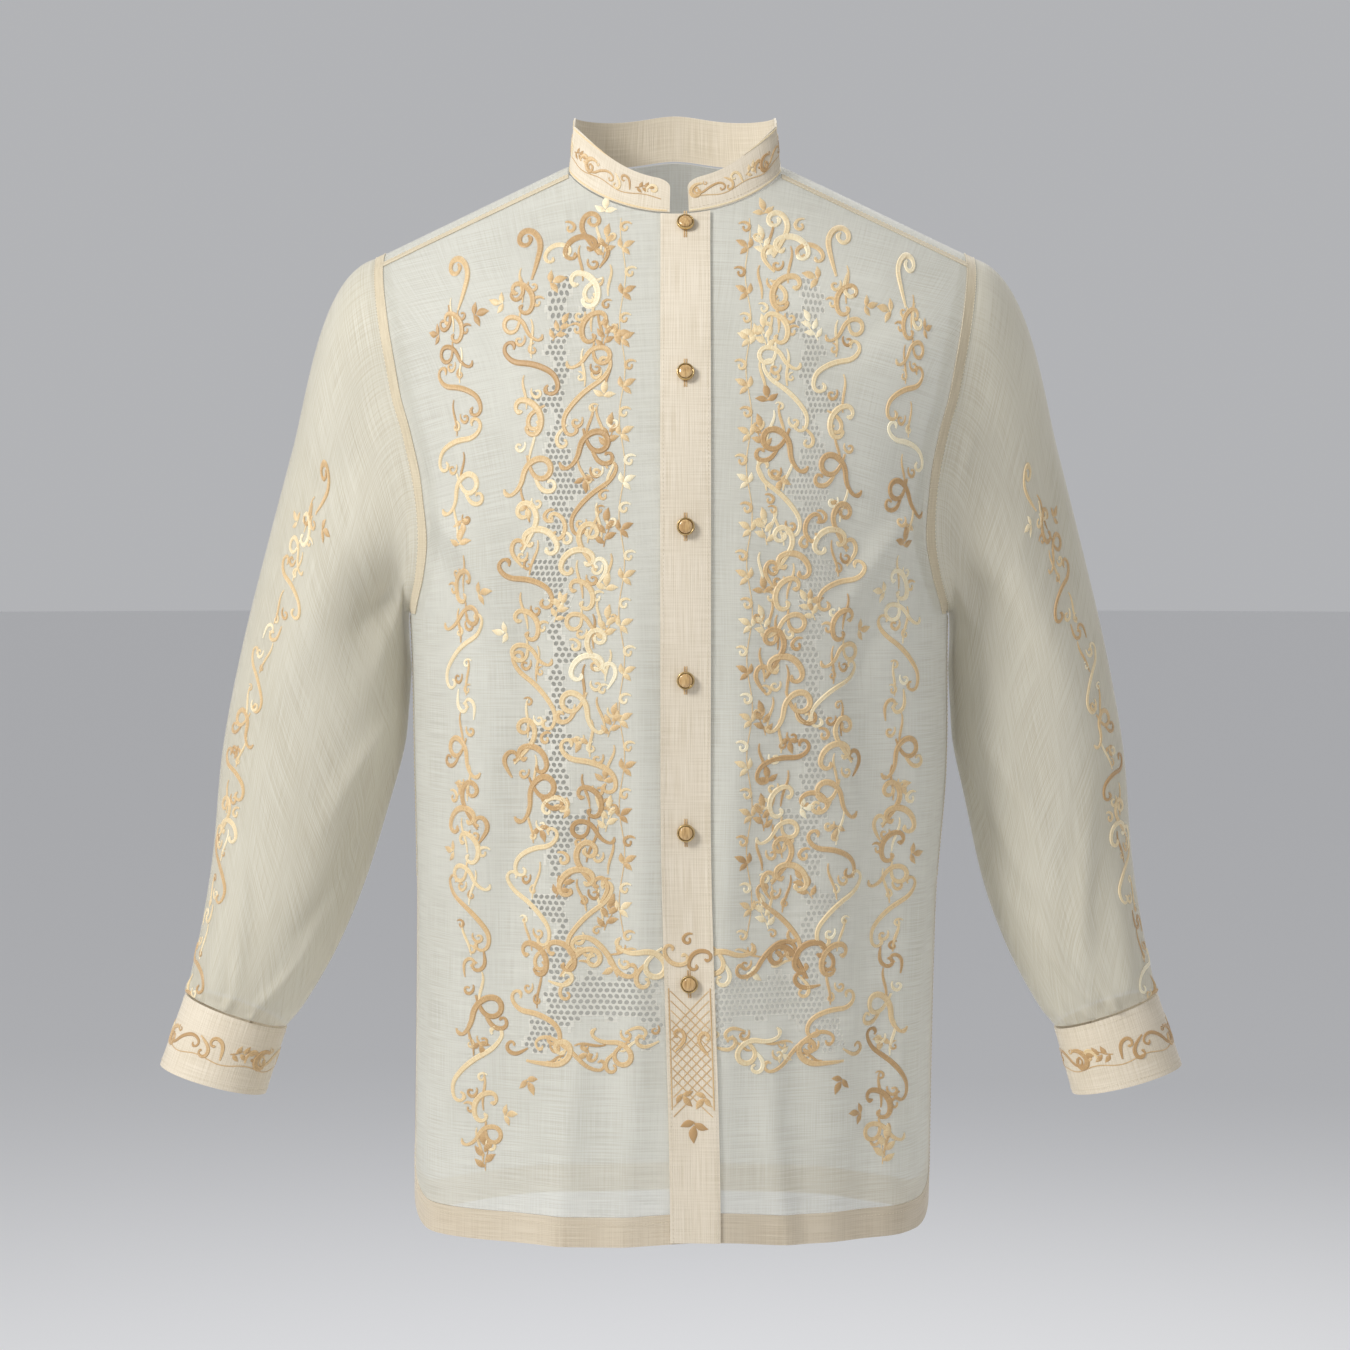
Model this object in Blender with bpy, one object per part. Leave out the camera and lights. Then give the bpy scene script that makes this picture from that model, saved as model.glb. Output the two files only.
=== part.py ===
"""Barong tagalog: a long-sleeved formal shirt of sheer cloth, in its worn, hollow form.

Metres, +Z up. The front faces -Y and the wearer's left is +X. The origin lies midway between
the two side neck points, at the level of the neck seam, where the wearer's neck and shoulders
carry the shirt. Every sewn piece is its own object: a cloth wall with a small gap at each seam.
"""

import math

import bmesh
import bpy
from mathutils import Vector

# Cloth
WALL = 0.0012
FIRM_WALL = 0.0016
SEAM_GAP = 0.0003

# Neck and shoulders
NECK_HALF_WIDTH = 0.0775
FRONT_NECK_DROP = 0.041
FRONT_NECK_ROUNDNESS = 1.5
BACK_NECK_DEPTH = 0.055
BACK_DEPTH_AT_NECK = 0.083
NECK_FRONT_SHARE = 0.405
NECK_SIDE_SHARE = 0.527
SHOULDER_SLOPE = 0.483
NAPE_SOFTNESS = 0.020
SHOULDER_ROUNDING = 0.09
SHOULDER_SEAM_TURN = math.radians(25.0)
SHOULDER_SEAM_CLEARANCE = math.radians(0.6)
SHOULDER_START_Z = -0.03
BACK_NECK_START_TURN = 0.3

# Body lengths, measured down from the side neck points
UNDERARM_Z = -0.333
SLIT_TOP_Z = -0.527
HEM_Z = -0.787
BACK_HEM_Z = -0.793
HEM_LIFT_AT_CENTRE = 0.004
HEM_LIFT_REACH = 0.045
HEM_BAND = 0.022
SLIT_FACING = 0.007
SLIT_HALF_OPENING = 0.0012
SLIT_NOTCH = 0.004
CORNER_WIDTH = 0.070
CORNER_HEIGHT = 0.045
QUARTER_GIRTH = 0.272
SECTION_POWER = 2.2

# Button band: wearer's left over right
PLACKET_WIDTH = 0.036
PLACKET_X = 0.0075
PLACKET_DRIFT = 0.007
PLACKET_DRIFT_START_Z = -0.45
UNDERLAP = 0.012
PLACKET_CLEARANCE = 0.0006
PLACKET_TOP_GAP = 0.0010
BUTTON_TOP_Z = -0.050
BUTTON_STEP = 0.109
BUTTON_COUNT = 6

# Collar and cuffs
COLLAR_HEIGHT = 0.034
COLLAR_END_HEIGHT = 0.028
COLLAR_LIFT = 0.0014
COLLAR_START = 0.034
COLLAR_END = 1.987
COLLAR_FULL_AFTER = 0.34
COLLAR_STEPS = 26
COLLAR_LEANS = {"front": 0.50, "side": 0.09, "back": 0.14}
COLLAR_CORNER = 0.009
COLLAR_CORNER_FALL = 0.8
NECK_RING_HALF = 0.22
CUFF_STEPS = 24
CUFF_OVERLAP_STEPS = 2
CUFF_OVERLAP_RISE = 0.0024
CUFF_OPENING_STEP = 17
CUFF_LAP_STEPS = 4

# Turned buttons: distance from the axis, height above the cloth
CUP_PROFILE = (
    (0.0, 0.0), (0.0052, 0.0), (0.0066, 0.0015), (0.0063, 0.0034), (0.0055, 0.0033), (0.0054, 0.0014),
    (0.0, 0.0014),
)
INLAY_PROFILE = ((0.0, 0.0017), (0.0050, 0.0017), (0.0051, 0.0031), (0.0030, 0.0043), (0.0, 0.0047))
PLAIN_PROFILE = ((0.0, 0.0), (0.0042, 0.0), (0.0050, 0.0009), (0.0046, 0.0019), (0.0, 0.0016))
BUTTON_SIDES = 12

# Torso sections: height, half width, depth in front, depth behind, sideways shift
TORSO_SECTIONS = (
    (0.045, 0.385, 0.060, 0.070, 0.000),
    (0.000, 0.365, 0.064, 0.083, 0.000),
    (-0.040, 0.340, 0.0715, 0.100, 0.000),
    (-0.080, 0.310, 0.094, 0.117, 0.000),
    (-0.140, 0.252, 0.124, 0.136, 0.000),
    (-0.200, 0.225, 0.141, 0.147, 0.000),
    (-0.270, 0.2065, 0.149, 0.148, 0.001),
    (-0.335, 0.2005, 0.150, 0.144, 0.003),
    (-0.450, 0.1985, 0.146, 0.134, 0.004),
    (-0.550, 0.1940, 0.141, 0.131, 0.001),
    (-0.800, 0.1930, 0.135, 0.137, -0.003),
)

# Armhole seam: height, distance from the middle
ARMHOLE = (
    (-0.070, 0.2220),
    (-0.0865, 0.2210),
    (-0.125, 0.2150),
    (-0.150, 0.2105),
    (-0.176, 0.2055),
    (-0.200, 0.1985),
    (-0.240, 0.1905),
    (-0.275, 0.1885),
    (-0.305, 0.1925),
    (-0.325, 0.1985),
    (UNDERARM_Z, 0.2005),
)

# Sleeve sections below the cap: outer x, outer z, inner x, inner z, half depth, centre y
SLEEVE_SECTIONS = (
    (0.2880, -0.211, 0.2035, -0.380, 0.074, 0.026),
    (0.3075, -0.286, 0.2050, -0.405, 0.070, 0.024),
    (0.3255, -0.361, 0.2075, -0.434, 0.067, 0.020),
    (0.3390, -0.436, 0.2170, -0.474, 0.063, 0.014),
    (0.3450, -0.511, 0.2330, -0.535, 0.058, 0.006),
    (0.3515, -0.560, 0.2520, -0.584, 0.053, -0.002),
    (0.3590, -0.598, 0.2740, -0.624, 0.048, -0.008),
    (0.3630, -0.6155, 0.2880, -0.642, 0.0415, -0.011),
)
CUFF_SECTIONS = (
    (0.3635, -0.6175, 0.2885, -0.6440, 0.0400, -0.0115),
    (0.3725, -0.6440, 0.2955, -0.6680, 0.0408, -0.0150),
    (0.3815, -0.6700, 0.3025, -0.6920, 0.0415, -0.0185),
)
SLEEVE_SWING = {1: -0.003, -1: 0.003}
SWING_START_Z = -0.211
SWING_LENGTH = 0.45
SLEEVE_FOLD_FADE = 0.08

# Soft folds on the sleeves: start along, start around, end along, end around, height, reach
SLEEVE_FOLDS = (
    (0.06, 128.0, 0.62, 62.0, 0.0065, 15.0),
    (0.05, 158.0, 0.55, 104.0, -0.0050, 14.0),
    (0.10, 96.0, 0.50, 34.0, -0.0040, 15.0),
    (0.08, 222.0, 0.70, 292.0, 0.0055, 16.0),
    (0.08, 250.0, 0.60, 322.0, -0.0045, 15.0),
    (0.72, 40.0, 1.02, 70.0, 0.0035, 14.0),
    (0.70, 300.0, 1.02, 280.0, 0.0035, 15.0),
)
# Broad folds down the back: distance from the middle, height, half width, top
BACK_FOLDS = (
    (-0.105, 0.0045, 0.024, -0.150),
    (-0.040, -0.0030, 0.022, -0.260),
    (0.055, -0.0035, 0.020, -0.220),
    (0.118, 0.0040, 0.022, -0.170),
)
BACK_FOLD_FADE = 0.12

# Grid of a panel: rows over the shoulder, to the underarm, to the slit, to the hem
FRONT_TURN_ROWS = 5
BACK_TURN_ROWS = 7
UNDERARM_ROWS = 5
SIDE_ROWS = 3
SLIT_ROWS = 4
CORNER_STEPS = 3
CHEST_STEPS = 5
NECK_STEPS = 5
NECK_CORNER_TURN = math.radians(7.0)
NECK_TOLERANCE = 0.00005
CAP_STEPS = (0.0, 0.07, 0.17, 0.29, 0.43, 0.58, 0.73, 0.87)
SLEEVE_ROWS = 10
CAP_SHARE = 0.4
CAP_LEAVE = 0.8
CAP_ARRIVE = 0.9
CAP_OUTWARD = 0.9
SOLVE_STEPS = 24

COLOURS = {
    "Sheer cloth": (0.72, 0.71, 0.64, 0.55, 0.0),
    "Firm cloth": (0.82, 0.73, 0.60, 0.60, 0.0),
    "Brass": (0.62, 0.45, 0.20, 0.30, 1.0),
    "Amber wood": (0.62, 0.38, 0.13, 0.35, 0.0),
    "Shirt button": (0.85, 0.80, 0.70, 0.30, 0.0),
}


def clear_scene():
    for item in list(bpy.data.objects):
        bpy.data.objects.remove(item, do_unlink=True)


def material(name):
    """A Principled material with its colour, roughness and metallic value."""
    found = bpy.data.materials.get(name)
    if found:
        return found
    red, green, blue, roughness, metallic = COLOURS[name]
    made = bpy.data.materials.new(name)
    made.use_nodes = True
    shader = made.node_tree.nodes["Principled BSDF"]
    shader.inputs["Base Color"].default_value = (red, green, blue, 1.0)
    shader.inputs["Roughness"].default_value = roughness
    shader.inputs["Metallic"].default_value = metallic
    return made


def clamp(value, low=0.0, high=1.0):
    return max(low, min(high, value))


def ease(value):
    value = clamp(value)
    return value * value * (3.0 - 2.0 * value)


def read_smoothly(table, key, column):
    """A value from a table whose first column falls, along a smooth curve through its rows."""
    keys = [row[0] for row in table]
    values = [row[column] for row in table]
    if key >= keys[0]:
        return values[0]
    if key <= keys[-1]:
        return values[-1]
    at = max(i for i in range(len(keys) - 1) if keys[i] >= key)

    def slope(i):
        low = max(i - 1, 0)
        high = min(i + 1, len(keys) - 1)
        return (values[high] - values[low]) / (keys[high] - keys[low])

    span = keys[at + 1] - keys[at]
    return hermite(values[at], slope(at) * span, values[at + 1], slope(at + 1) * span,
                   (key - keys[at]) / span)


def hermite(start, start_slope, end, end_slope, t):
    return (
        start * (2 * t**3 - 3 * t**2 + 1)
        + start_slope * (t**3 - 2 * t**2 + t)
        + end * (3 * t**2 - 2 * t**3)
        + end_slope * (t**3 - t**2)
    )


# The torso's own surface


def power(value, exponent):
    return math.copysign(abs(value) ** exponent, value)


def arc_table(steps=90, width=0.2, depth=0.14):
    """Running length of a quarter section, to space columns evenly along the cloth."""
    lengths = [0.0]
    last = None
    for i in range(steps + 1):
        turn = math.pi / 2 * i / steps
        here = (width * power(math.sin(turn), 2 / SECTION_POWER),
                depth * power(max(math.cos(turn), 0.0), 2 / SECTION_POWER))
        if last:
            lengths.append(lengths[-1] + math.dist(here, last))
        last = here
    return [length / lengths[-1] for length in lengths]


ARCS = arc_table()


def turn_at(fraction):
    """The section's angle at a fraction of the quarter girth, 0 in the middle and 1 at the side."""
    size = clamp(abs(fraction))
    at = max(i for i in range(len(ARCS) - 1) if ARCS[i] <= size)
    step = (size - ARCS[at]) / (ARCS[at + 1] - ARCS[at])
    return math.copysign(math.pi / 2 * (at + step) / (len(ARCS) - 1), fraction)


def fraction_at(across):
    """The fraction of the quarter girth at a share of the half width."""
    turn = math.asin(clamp(abs(across)) ** (SECTION_POWER / 2))
    place = turn / (math.pi / 2) * (len(ARCS) - 1)
    at = min(int(place), len(ARCS) - 2)
    size = ARCS[at] + (place - at) * (ARCS[at + 1] - ARCS[at])
    return math.copysign(size, across)


def half_width(z):
    return read_smoothly(TORSO_SECTIONS, z, 1)


def shoulder_height(x):
    """The shoulder line: level with the origin at the neck, and soft where both sides meet."""
    return SHOULDER_SLOPE * (math.hypot(NECK_HALF_WIDTH, NAPE_SOFTNESS) - math.hypot(x, NAPE_SOFTNESS))


def torso_point(fraction, z, facing):
    """A point of the worn surface. facing is 1 on the front of the shoulder line and -1 behind it."""
    turn = turn_at(fraction)
    x = half_width(z) * power(math.sin(turn), 2 / SECTION_POWER)
    depth = read_smoothly(TORSO_SECTIONS, z, 2 if facing > 0 else 3)
    drop = clamp((shoulder_height(x) - z) / SHOULDER_ROUNDING)
    rounding = math.sqrt(1.0 - (1.0 - drop) ** 2)
    y = depth * max(math.cos(turn), 0.0) ** (2 / SECTION_POWER) * rounding
    if facing < 0:
        y += back_fold(x, z)
    return Vector((x + read_smoothly(TORSO_SECTIONS, z, 4), -facing * y, z))


def back_fold(x, z):
    total = 0.0
    for middle, height, reach, top in BACK_FOLDS:
        along = ease((top - z) / BACK_FOLD_FADE)
        total += height * along * math.exp(-(((x - middle) / reach) ** 2))
    return total


def edge_fraction(z):
    """Where a panel ends at the armhole, or at the side seam below it."""
    if z <= UNDERARM_Z:
        return 1.0
    return fraction_at(read_smoothly(ARMHOLE, z, 1) / half_width(z))


def height_at_turn(column, over):
    """The height at which a column has turned down from the shoulder line by the angle over."""
    z = SHOULDER_START_Z
    for _ in range(SOLVE_STEPS):
        x = half_width(z) * power(math.sin(turn_at(column(z))), 2 / SECTION_POWER)
        z = shoulder_height(x) - SHOULDER_ROUNDING * (1.0 - math.cos(over))
    return z


def front_neck_height(x):
    """The neck seam's height in front, from the shoulder seams down to the middle."""
    across = clamp(abs(x) / NECK_HALF_WIDTH)
    seam_drop = SHOULDER_ROUNDING * (1.0 - math.cos(SHOULDER_SEAM_TURN))
    curve = (1.0 - across * across) ** (FRONT_NECK_ROUNDNESS / 2)
    return -seam_drop - (FRONT_NECK_DROP - seam_drop) * curve


def back_neck_turn(x):
    across = clamp(abs(x) / NECK_HALF_WIDTH)
    return math.asin(clamp(BACK_NECK_DEPTH * math.sqrt(1.0 - across * across) / BACK_DEPTH_AT_NECK))


def back_neck_height(x):
    return shoulder_height(x) - SHOULDER_ROUNDING * (1.0 - math.cos(back_neck_turn(x)))


def neck_point(place):
    """A point of the neck seam. place runs from 0 in front by the wearer's left to 1 at the back."""
    size = abs(place)
    x = NECK_HALF_WIDTH
    facing = 1
    if size < NECK_FRONT_SHARE:
        x *= math.sin(math.pi / 2 * size / NECK_FRONT_SHARE)
        z = front_neck_height(x)
    elif size < NECK_SIDE_SHARE:
        share = (NECK_SIDE_SHARE - size) / (NECK_SIDE_SHARE - NECK_FRONT_SHARE)
        z = -SHOULDER_ROUNDING * (1.0 - math.cos(SHOULDER_SEAM_TURN * share))
    else:
        x *= math.cos(math.pi / 2 * (size - NECK_SIDE_SHARE) / (1.0 - NECK_SIDE_SHARE))
        z = back_neck_height(x)
        facing = -1
    return torso_point(fraction_at(math.copysign(x, place) / half_width(z)), z, facing)


# Cloth walls


def grid_normals(rows, wrap):
    """Outward directions at the points of a grid, from the points around each."""
    last_row = len(rows) - 1
    count = len(rows[0])
    normals = []
    for i in range(len(rows)):
        line = []
        for j in range(count):
            above, below = rows[max(i - 1, 0)][j], rows[min(i + 1, last_row)][j]
            if wrap:
                before, after = rows[i][j - 1], rows[i][(j + 1) % count]
            else:
                before, after = rows[i][max(j - 1, 0)], rows[i][min(j + 1, count - 1)]
            line.append((below - above).cross(after - before).normalized())
        normals.append(line)
    return normals


def add_object(name, mesh, finish):
    mesh.materials.append(material(finish))
    mesh.shade_smooth()
    mesh.set_sharp_from_angle(angle=math.radians(40.0))
    made = bpy.data.objects.new(name, mesh)
    bpy.context.scene.collection.objects.link(made)
    return made


def add_wall(name, rows, low, high, finish, wrap=False, normals=None):
    """A closed cloth wall from low to high outside a grid of points.

    The rows run down and the columns run round so that the normals point out of the garment.
    """
    normals = normals or grid_normals(rows, wrap)
    count = len(rows[0])
    work = bmesh.new()
    layers = []
    for level in (high, low):
        layers.append([
            [work.verts.new(point + normal * level) for point, normal in zip(line, facing)]
            for line, facing in zip(rows, normals)
        ])
    outer, inner = layers
    steps = count if wrap else count - 1
    for i in range(len(rows) - 1):
        for j in range(steps):
            k = (j + 1) % count
            work.faces.new((outer[i][j], outer[i + 1][j], outer[i + 1][k], outer[i][k]))
            work.faces.new((inner[i][k], inner[i + 1][k], inner[i + 1][j], inner[i][j]))
    for j in range(steps):
        k = (j + 1) % count
        work.faces.new((outer[0][j], outer[0][k], inner[0][k], inner[0][j]))
        work.faces.new((inner[-1][j], inner[-1][k], outer[-1][k], outer[-1][j]))
    if not wrap:
        for i in range(len(rows) - 1):
            work.faces.new((outer[i + 1][0], outer[i][0], inner[i][0], inner[i + 1][0]))
            work.faces.new((outer[i][-1], outer[i + 1][-1], inner[i + 1][-1], inner[i][-1]))
    bmesh.ops.triangulate(work, faces=work.faces[:])
    mesh = bpy.data.meshes.new(name)
    work.to_mesh(mesh)
    work.free()
    return add_object(name, mesh, finish)


# Panels of the body


def placket_x(z):
    drift = ease((PLACKET_DRIFT_START_Z - z) / (PLACKET_DRIFT_START_Z - HEM_Z))
    return PLACKET_X + PLACKET_DRIFT * drift


def neck_distances(side, facing):
    """How far from the side the columns lie that meet the side neck point and the neck's curve."""
    side_point = math.pi / 2
    if facing > 0:
        last = side * math.asin((PLACKET_X + UNDERLAP) / NECK_HALF_WIDTH)
        turns = [side_point + (last - side_point) * i / NECK_STEPS for i in range(NECK_STEPS + 1)]
    else:
        first = side_point - NECK_CORNER_TURN
        turns = [side_point] + [first * (1.0 - i / NECK_STEPS) for i in range(NECK_STEPS + 1)]
    distances = []
    for turn in turns:
        x = NECK_HALF_WIDTH * math.sin(turn)
        z = front_neck_height(x) if facing > 0 or turn == side_point else back_neck_height(x)
        start = inner_fraction(side, z) if facing > 0 else 0.0
        fraction = math.copysign(fraction_at(x / half_width(z)), x)
        distances.append(QUARTER_GIRTH * (1.0 - (fraction - start) / (edge_fraction(z) - start)))
    return distances


def hem_outline(side, facing):
    """Steps along a hem from the slit to the middle, as (distance from the side, height).

    Each step gives the panel's edge, the hem band's inner edge and its finished outer edge.
    """
    hem_z = HEM_Z if facing > 0 else BACK_HEM_Z
    steps = []
    inner_height = CORNER_HEIGHT - SLIT_NOTCH
    for i in range(CORNER_STEPS + 1):
        turn = math.pi / 2 * i / CORNER_STEPS
        wide, low = math.cos(turn), 1.0 - math.sin(turn)
        edge = (CORNER_WIDTH - (CORNER_WIDTH - SLIT_FACING) * wide, hem_z + HEM_BAND + inner_height * low)
        inner = (edge[0] - SEAM_GAP * wide, edge[1] - SEAM_GAP * (1.0 - low))
        outer = (CORNER_WIDTH - (CORNER_WIDTH - SLIT_HALF_OPENING) * wide, hem_z + CORNER_HEIGHT * low)
        steps.append((edge, inner, outer))
    neck = neck_distances(side, facing)
    chest = [CORNER_WIDTH + (neck[0] - CORNER_WIDTH) * i / CHEST_STEPS for i in range(1, CHEST_STEPS)]
    top = hem_z + HEM_BAND
    for distance in chest + neck:
        steps.append(((distance, top), (distance, top - SEAM_GAP), (distance, hem_z)))
    return steps


def centre_lift(share):
    """How far the front hem rises towards the button band."""
    reach = share * QUARTER_GIRTH / HEM_LIFT_REACH
    return HEM_LIFT_AT_CENTRE * math.exp(-reach * reach)


def share_of(distance):
    """The share of the way from the middle to the side, by distance from the side."""
    return clamp(1.0 - distance / QUARTER_GIRTH)


def fraction_of_x(x, z):
    return fraction_at((x - read_smoothly(TORSO_SECTIONS, z, 4)) / half_width(z))


def inner_fraction(side, z):
    """The inner edge of a front, under the button band, as a fraction seen from its own side."""
    seam_x = placket_x(z) + UNDERLAP + side * SEAM_GAP / 2
    return side * fraction_of_x(seam_x, z)


def column_fraction(side, share, z, facing):
    start = inner_fraction(side, z) if facing > 0 else 0.0
    inset = SEAM_GAP / 2 / QUARTER_GIRTH if z <= UNDERARM_Z else 0.0
    return start + share * (edge_fraction(z) - inset - start)


def column_x(column, z):
    return abs(half_width(z) * power(math.sin(turn_at(column(z))), 2 / SECTION_POWER))


def top_turn(column, facing):
    """The angle over the shoulder line at which a column starts, at the neck or shoulder seam."""
    seam = SHOULDER_SEAM_TURN
    x = column_x(column, height_at_turn(column, seam))
    if x >= NECK_HALF_WIDTH - NECK_TOLERANCE:
        return seam + SHOULDER_SEAM_CLEARANCE if facing > 0 else -seam
    if facing < 0:
        turn = BACK_NECK_START_TURN
        for _ in range(SOLVE_STEPS):
            turn = back_neck_turn(column_x(column, height_at_turn(column, turn)))
        return turn
    z = -FRONT_NECK_DROP
    for _ in range(SOLVE_STEPS):
        z = front_neck_height(column_x(column, z))
    fallen = shoulder_height(column_x(column, z)) - z
    return math.acos(clamp(1.0 - fallen / SHOULDER_ROUNDING))


def panel_columns(side, facing):
    """Columns of points from the top edge to the hem band, from the side seam to the middle.

    The shoulder part turns over the shoulder line: a negative turn is on its other side.
    """
    turn_rows = FRONT_TURN_ROWS if facing > 0 else BACK_TURN_ROWS
    columns = []
    for number, (edge, _, _) in enumerate(hem_outline(side, facing)):
        low_share = share_of(edge[0])
        share = 1.0 if number == 0 else low_share

        def column(z, share=share):
            return column_fraction(side, share, z, facing)

        points = []
        top = top_turn(column, facing)
        for i in range(turn_rows + 1):
            over = top + (math.pi / 2 - top) * i / turn_rows
            turned_z = height_at_turn(column, over)
            front_or_back = facing if over >= 0 else -facing
            points.append(torso_point(side * column(turned_z), turned_z, front_or_back))
        for i in range(1, UNDERARM_ROWS + 1):
            z = turned_z + (UNDERARM_Z - turned_z) * math.sin(math.pi / 2 * i / UNDERARM_ROWS)
            points.append(torso_point(side * column(z), z, facing))
        for i in range(1, SIDE_ROWS + 1):
            z = UNDERARM_Z + (SLIT_TOP_Z - UNDERARM_Z) * i / SIDE_ROWS
            points.append(torso_point(side * column(z), z, facing))
        lift = centre_lift(low_share) if facing > 0 else 0.0
        for z in slit_heights(edge[1] + lift):
            fraction = column_fraction(side, low_share, z, facing)
            points.append(torso_point(side * fraction, z, facing))
        columns.append(points)
    return columns


def slit_heights(bottom):
    top = SLIT_TOP_Z - SLIT_NOTCH
    return [top + (bottom - top) * i / SLIT_ROWS for i in range(SLIT_ROWS + 1)]


def rows_from(columns):
    return [list(row) for row in zip(*columns)]


def add_front(name, side):
    columns = panel_columns(side, 1)
    rows = rows_from(columns if side < 0 else columns[::-1])
    add_wall(name, rows, -WALL / 2, WALL / 2, "Sheer cloth")


def add_back(name):
    wearers_left = panel_columns(1, -1)
    wearers_right = panel_columns(-1, -1)
    rows = rows_from(wearers_left + wearers_right[-2::-1])
    add_wall(name, rows, -WALL / 2, WALL / 2, "Sheer cloth")


def band_point(side, place, facing):
    distance, z = place
    share = share_of(distance)
    height = z + (centre_lift(share) if facing > 0 else 0.0)
    return torso_point(side * column_fraction(side, share, height, facing), height, facing)


def band_columns(side, facing):
    """Pairs of points across a hem band, from the slit's top round the corner to the middle."""
    outline = hem_outline(side, facing)
    slit_bottom = outline[0][0][1]
    places = []
    for z in slit_heights(slit_bottom)[:-1]:
        start = z - SEAM_GAP * 2
        places.append(((SLIT_FACING - SEAM_GAP, start), (SLIT_HALF_OPENING, start)))
    places += [(inner, outer) for _, inner, outer in outline]
    return [[band_point(side, place, facing) for place in pair] for pair in places]


def add_hem_band(name, columns):
    add_wall(name, rows_from(columns), -FIRM_WALL / 2, FIRM_WALL / 2, "Firm cloth")


def add_hems():
    for name, side in (("hem_front_left", 1), ("hem_front_right", -1)):
        columns = band_columns(side, 1)
        add_hem_band(name, columns if side < 0 else columns[::-1])
    wearers_left = band_columns(1, -1)
    wearers_right = band_columns(-1, -1)
    add_hem_band("hem_back", wearers_left + wearers_right[-2::-1])


# Button band and buttons


def placket_rows():
    """The band's grid, on the rows of the front beneath it."""
    heights = [point.z for point in panel_columns(1, 1)[-1]]
    heights.append(HEM_Z + HEM_LIFT_AT_CENTRE)
    rows = []
    for i, row_z in enumerate(heights):
        row = []
        for across in (-1.0, -0.5, 0.1, 0.6, 1.0):
            x = placket_x(row_z) + across * PLACKET_WIDTH / 2
            z = front_neck_height(x) - PLACKET_TOP_GAP if i == 0 else row_z
            row.append(torso_point(fraction_of_x(x, z), z, 1))
        rows.append(row)
    return rows


def add_placket():
    low = WALL / 2 + PLACKET_CLEARANCE
    add_wall("placket", placket_rows(), low, low + WALL, "Firm cloth")


def add_turned(name, profile, finish, foot, outward):
    """A closed turned solid standing on foot, with its axis along outward."""
    across = outward.to_track_quat("Z", "Y")
    work = bmesh.new()
    rings = []
    for radius, height in profile:
        if radius == 0.0:
            rings.append([work.verts.new((0.0, 0.0, height))] * BUTTON_SIDES)
            continue
        turns = [2 * math.pi * i / BUTTON_SIDES for i in range(BUTTON_SIDES)]
        rings.append([
            work.verts.new((radius * math.cos(turn), radius * math.sin(turn), height)) for turn in turns
        ])
    for lower, upper in zip(rings, rings[1:]):
        for i in range(BUTTON_SIDES):
            k = (i + 1) % BUTTON_SIDES
            corners = dict.fromkeys((lower[i], lower[k], upper[k], upper[i]))
            work.faces.new(tuple(corners))
    bmesh.ops.recalc_face_normals(work, faces=work.faces[:])
    bmesh.ops.triangulate(work, faces=work.faces[:])
    mesh = bpy.data.meshes.new(name)
    work.to_mesh(mesh)
    work.free()
    made = add_object(name, mesh, finish)
    made.location = foot
    made.rotation_mode = "QUATERNION"
    made.rotation_quaternion = across


def placket_frame(z):
    """A point in the middle of the button band's base and the outward direction there."""
    def at(x, height):
        return torso_point(fraction_of_x(x, height), height, 1)

    step = 0.004
    x = placket_x(z)
    outward = (at(x, z - step) - at(x, z + step)).cross(at(x + step, z) - at(x - step, z)).normalized()
    return at(x, z), outward


def add_front_buttons():
    face = WALL / 2 + PLACKET_CLEARANCE + WALL + 2 * SEAM_GAP
    for number in range(BUTTON_COUNT):
        point, outward = placket_frame(BUTTON_TOP_Z - BUTTON_STEP * number)
        foot = point + outward * face
        add_turned(f"button_cup_{number + 1}", CUP_PROFILE, "Brass", foot, outward)
        add_turned(f"button_inlay_{number + 1}", INLAY_PROFILE, "Amber wood", foot, outward)


# Collar


def collar_frame(along):
    """The collar's foot and its outward and upward directions; along runs round the neck to 2."""
    def at(place):
        return neck_point(place if place <= 1.0 else place - 2.0)

    step = 0.01
    along_seam = at(along + step) - at(along - step)
    outward = Vector((along_seam.y, -along_seam.x, 0.0)).normalized()
    front, back = max(-outward.y, 0.0) ** 2, max(outward.y, 0.0) ** 2
    lean = (COLLAR_LEANS["front"] * front + COLLAR_LEANS["back"] * back
            + COLLAR_LEANS["side"] * (1.0 - front - back))
    upward = (Vector((0.0, 0.0, 1.0)) - outward * lean).normalized()
    return at(along) + upward * COLLAR_LIFT, upward


def collar_places():
    """Places round the neck, closer together at the two rounded front ends."""
    near_ends = [0.0, 0.006, 0.016, 0.034]
    start, end = COLLAR_START + near_ends[-1], COLLAR_END - near_ends[-1]
    places = [COLLAR_START + extra for extra in near_ends[:-1]]
    places += [start + (end - start) * i / COLLAR_STEPS for i in range(COLLAR_STEPS + 1)]
    places += [COLLAR_END - extra for extra in near_ends[-2::-1]]
    return places


def collar_height(along):
    from_end = min(along - COLLAR_START, COLLAR_END - along)
    full = COLLAR_END_HEIGHT + (COLLAR_HEIGHT - COLLAR_END_HEIGHT) * ease(from_end / COLLAR_FULL_AFTER)
    short = clamp(1.0 - from_end * NECK_RING_HALF / COLLAR_CORNER)
    return full - COLLAR_CORNER * COLLAR_CORNER_FALL * (1.0 - math.sqrt(1.0 - short * short))


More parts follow.
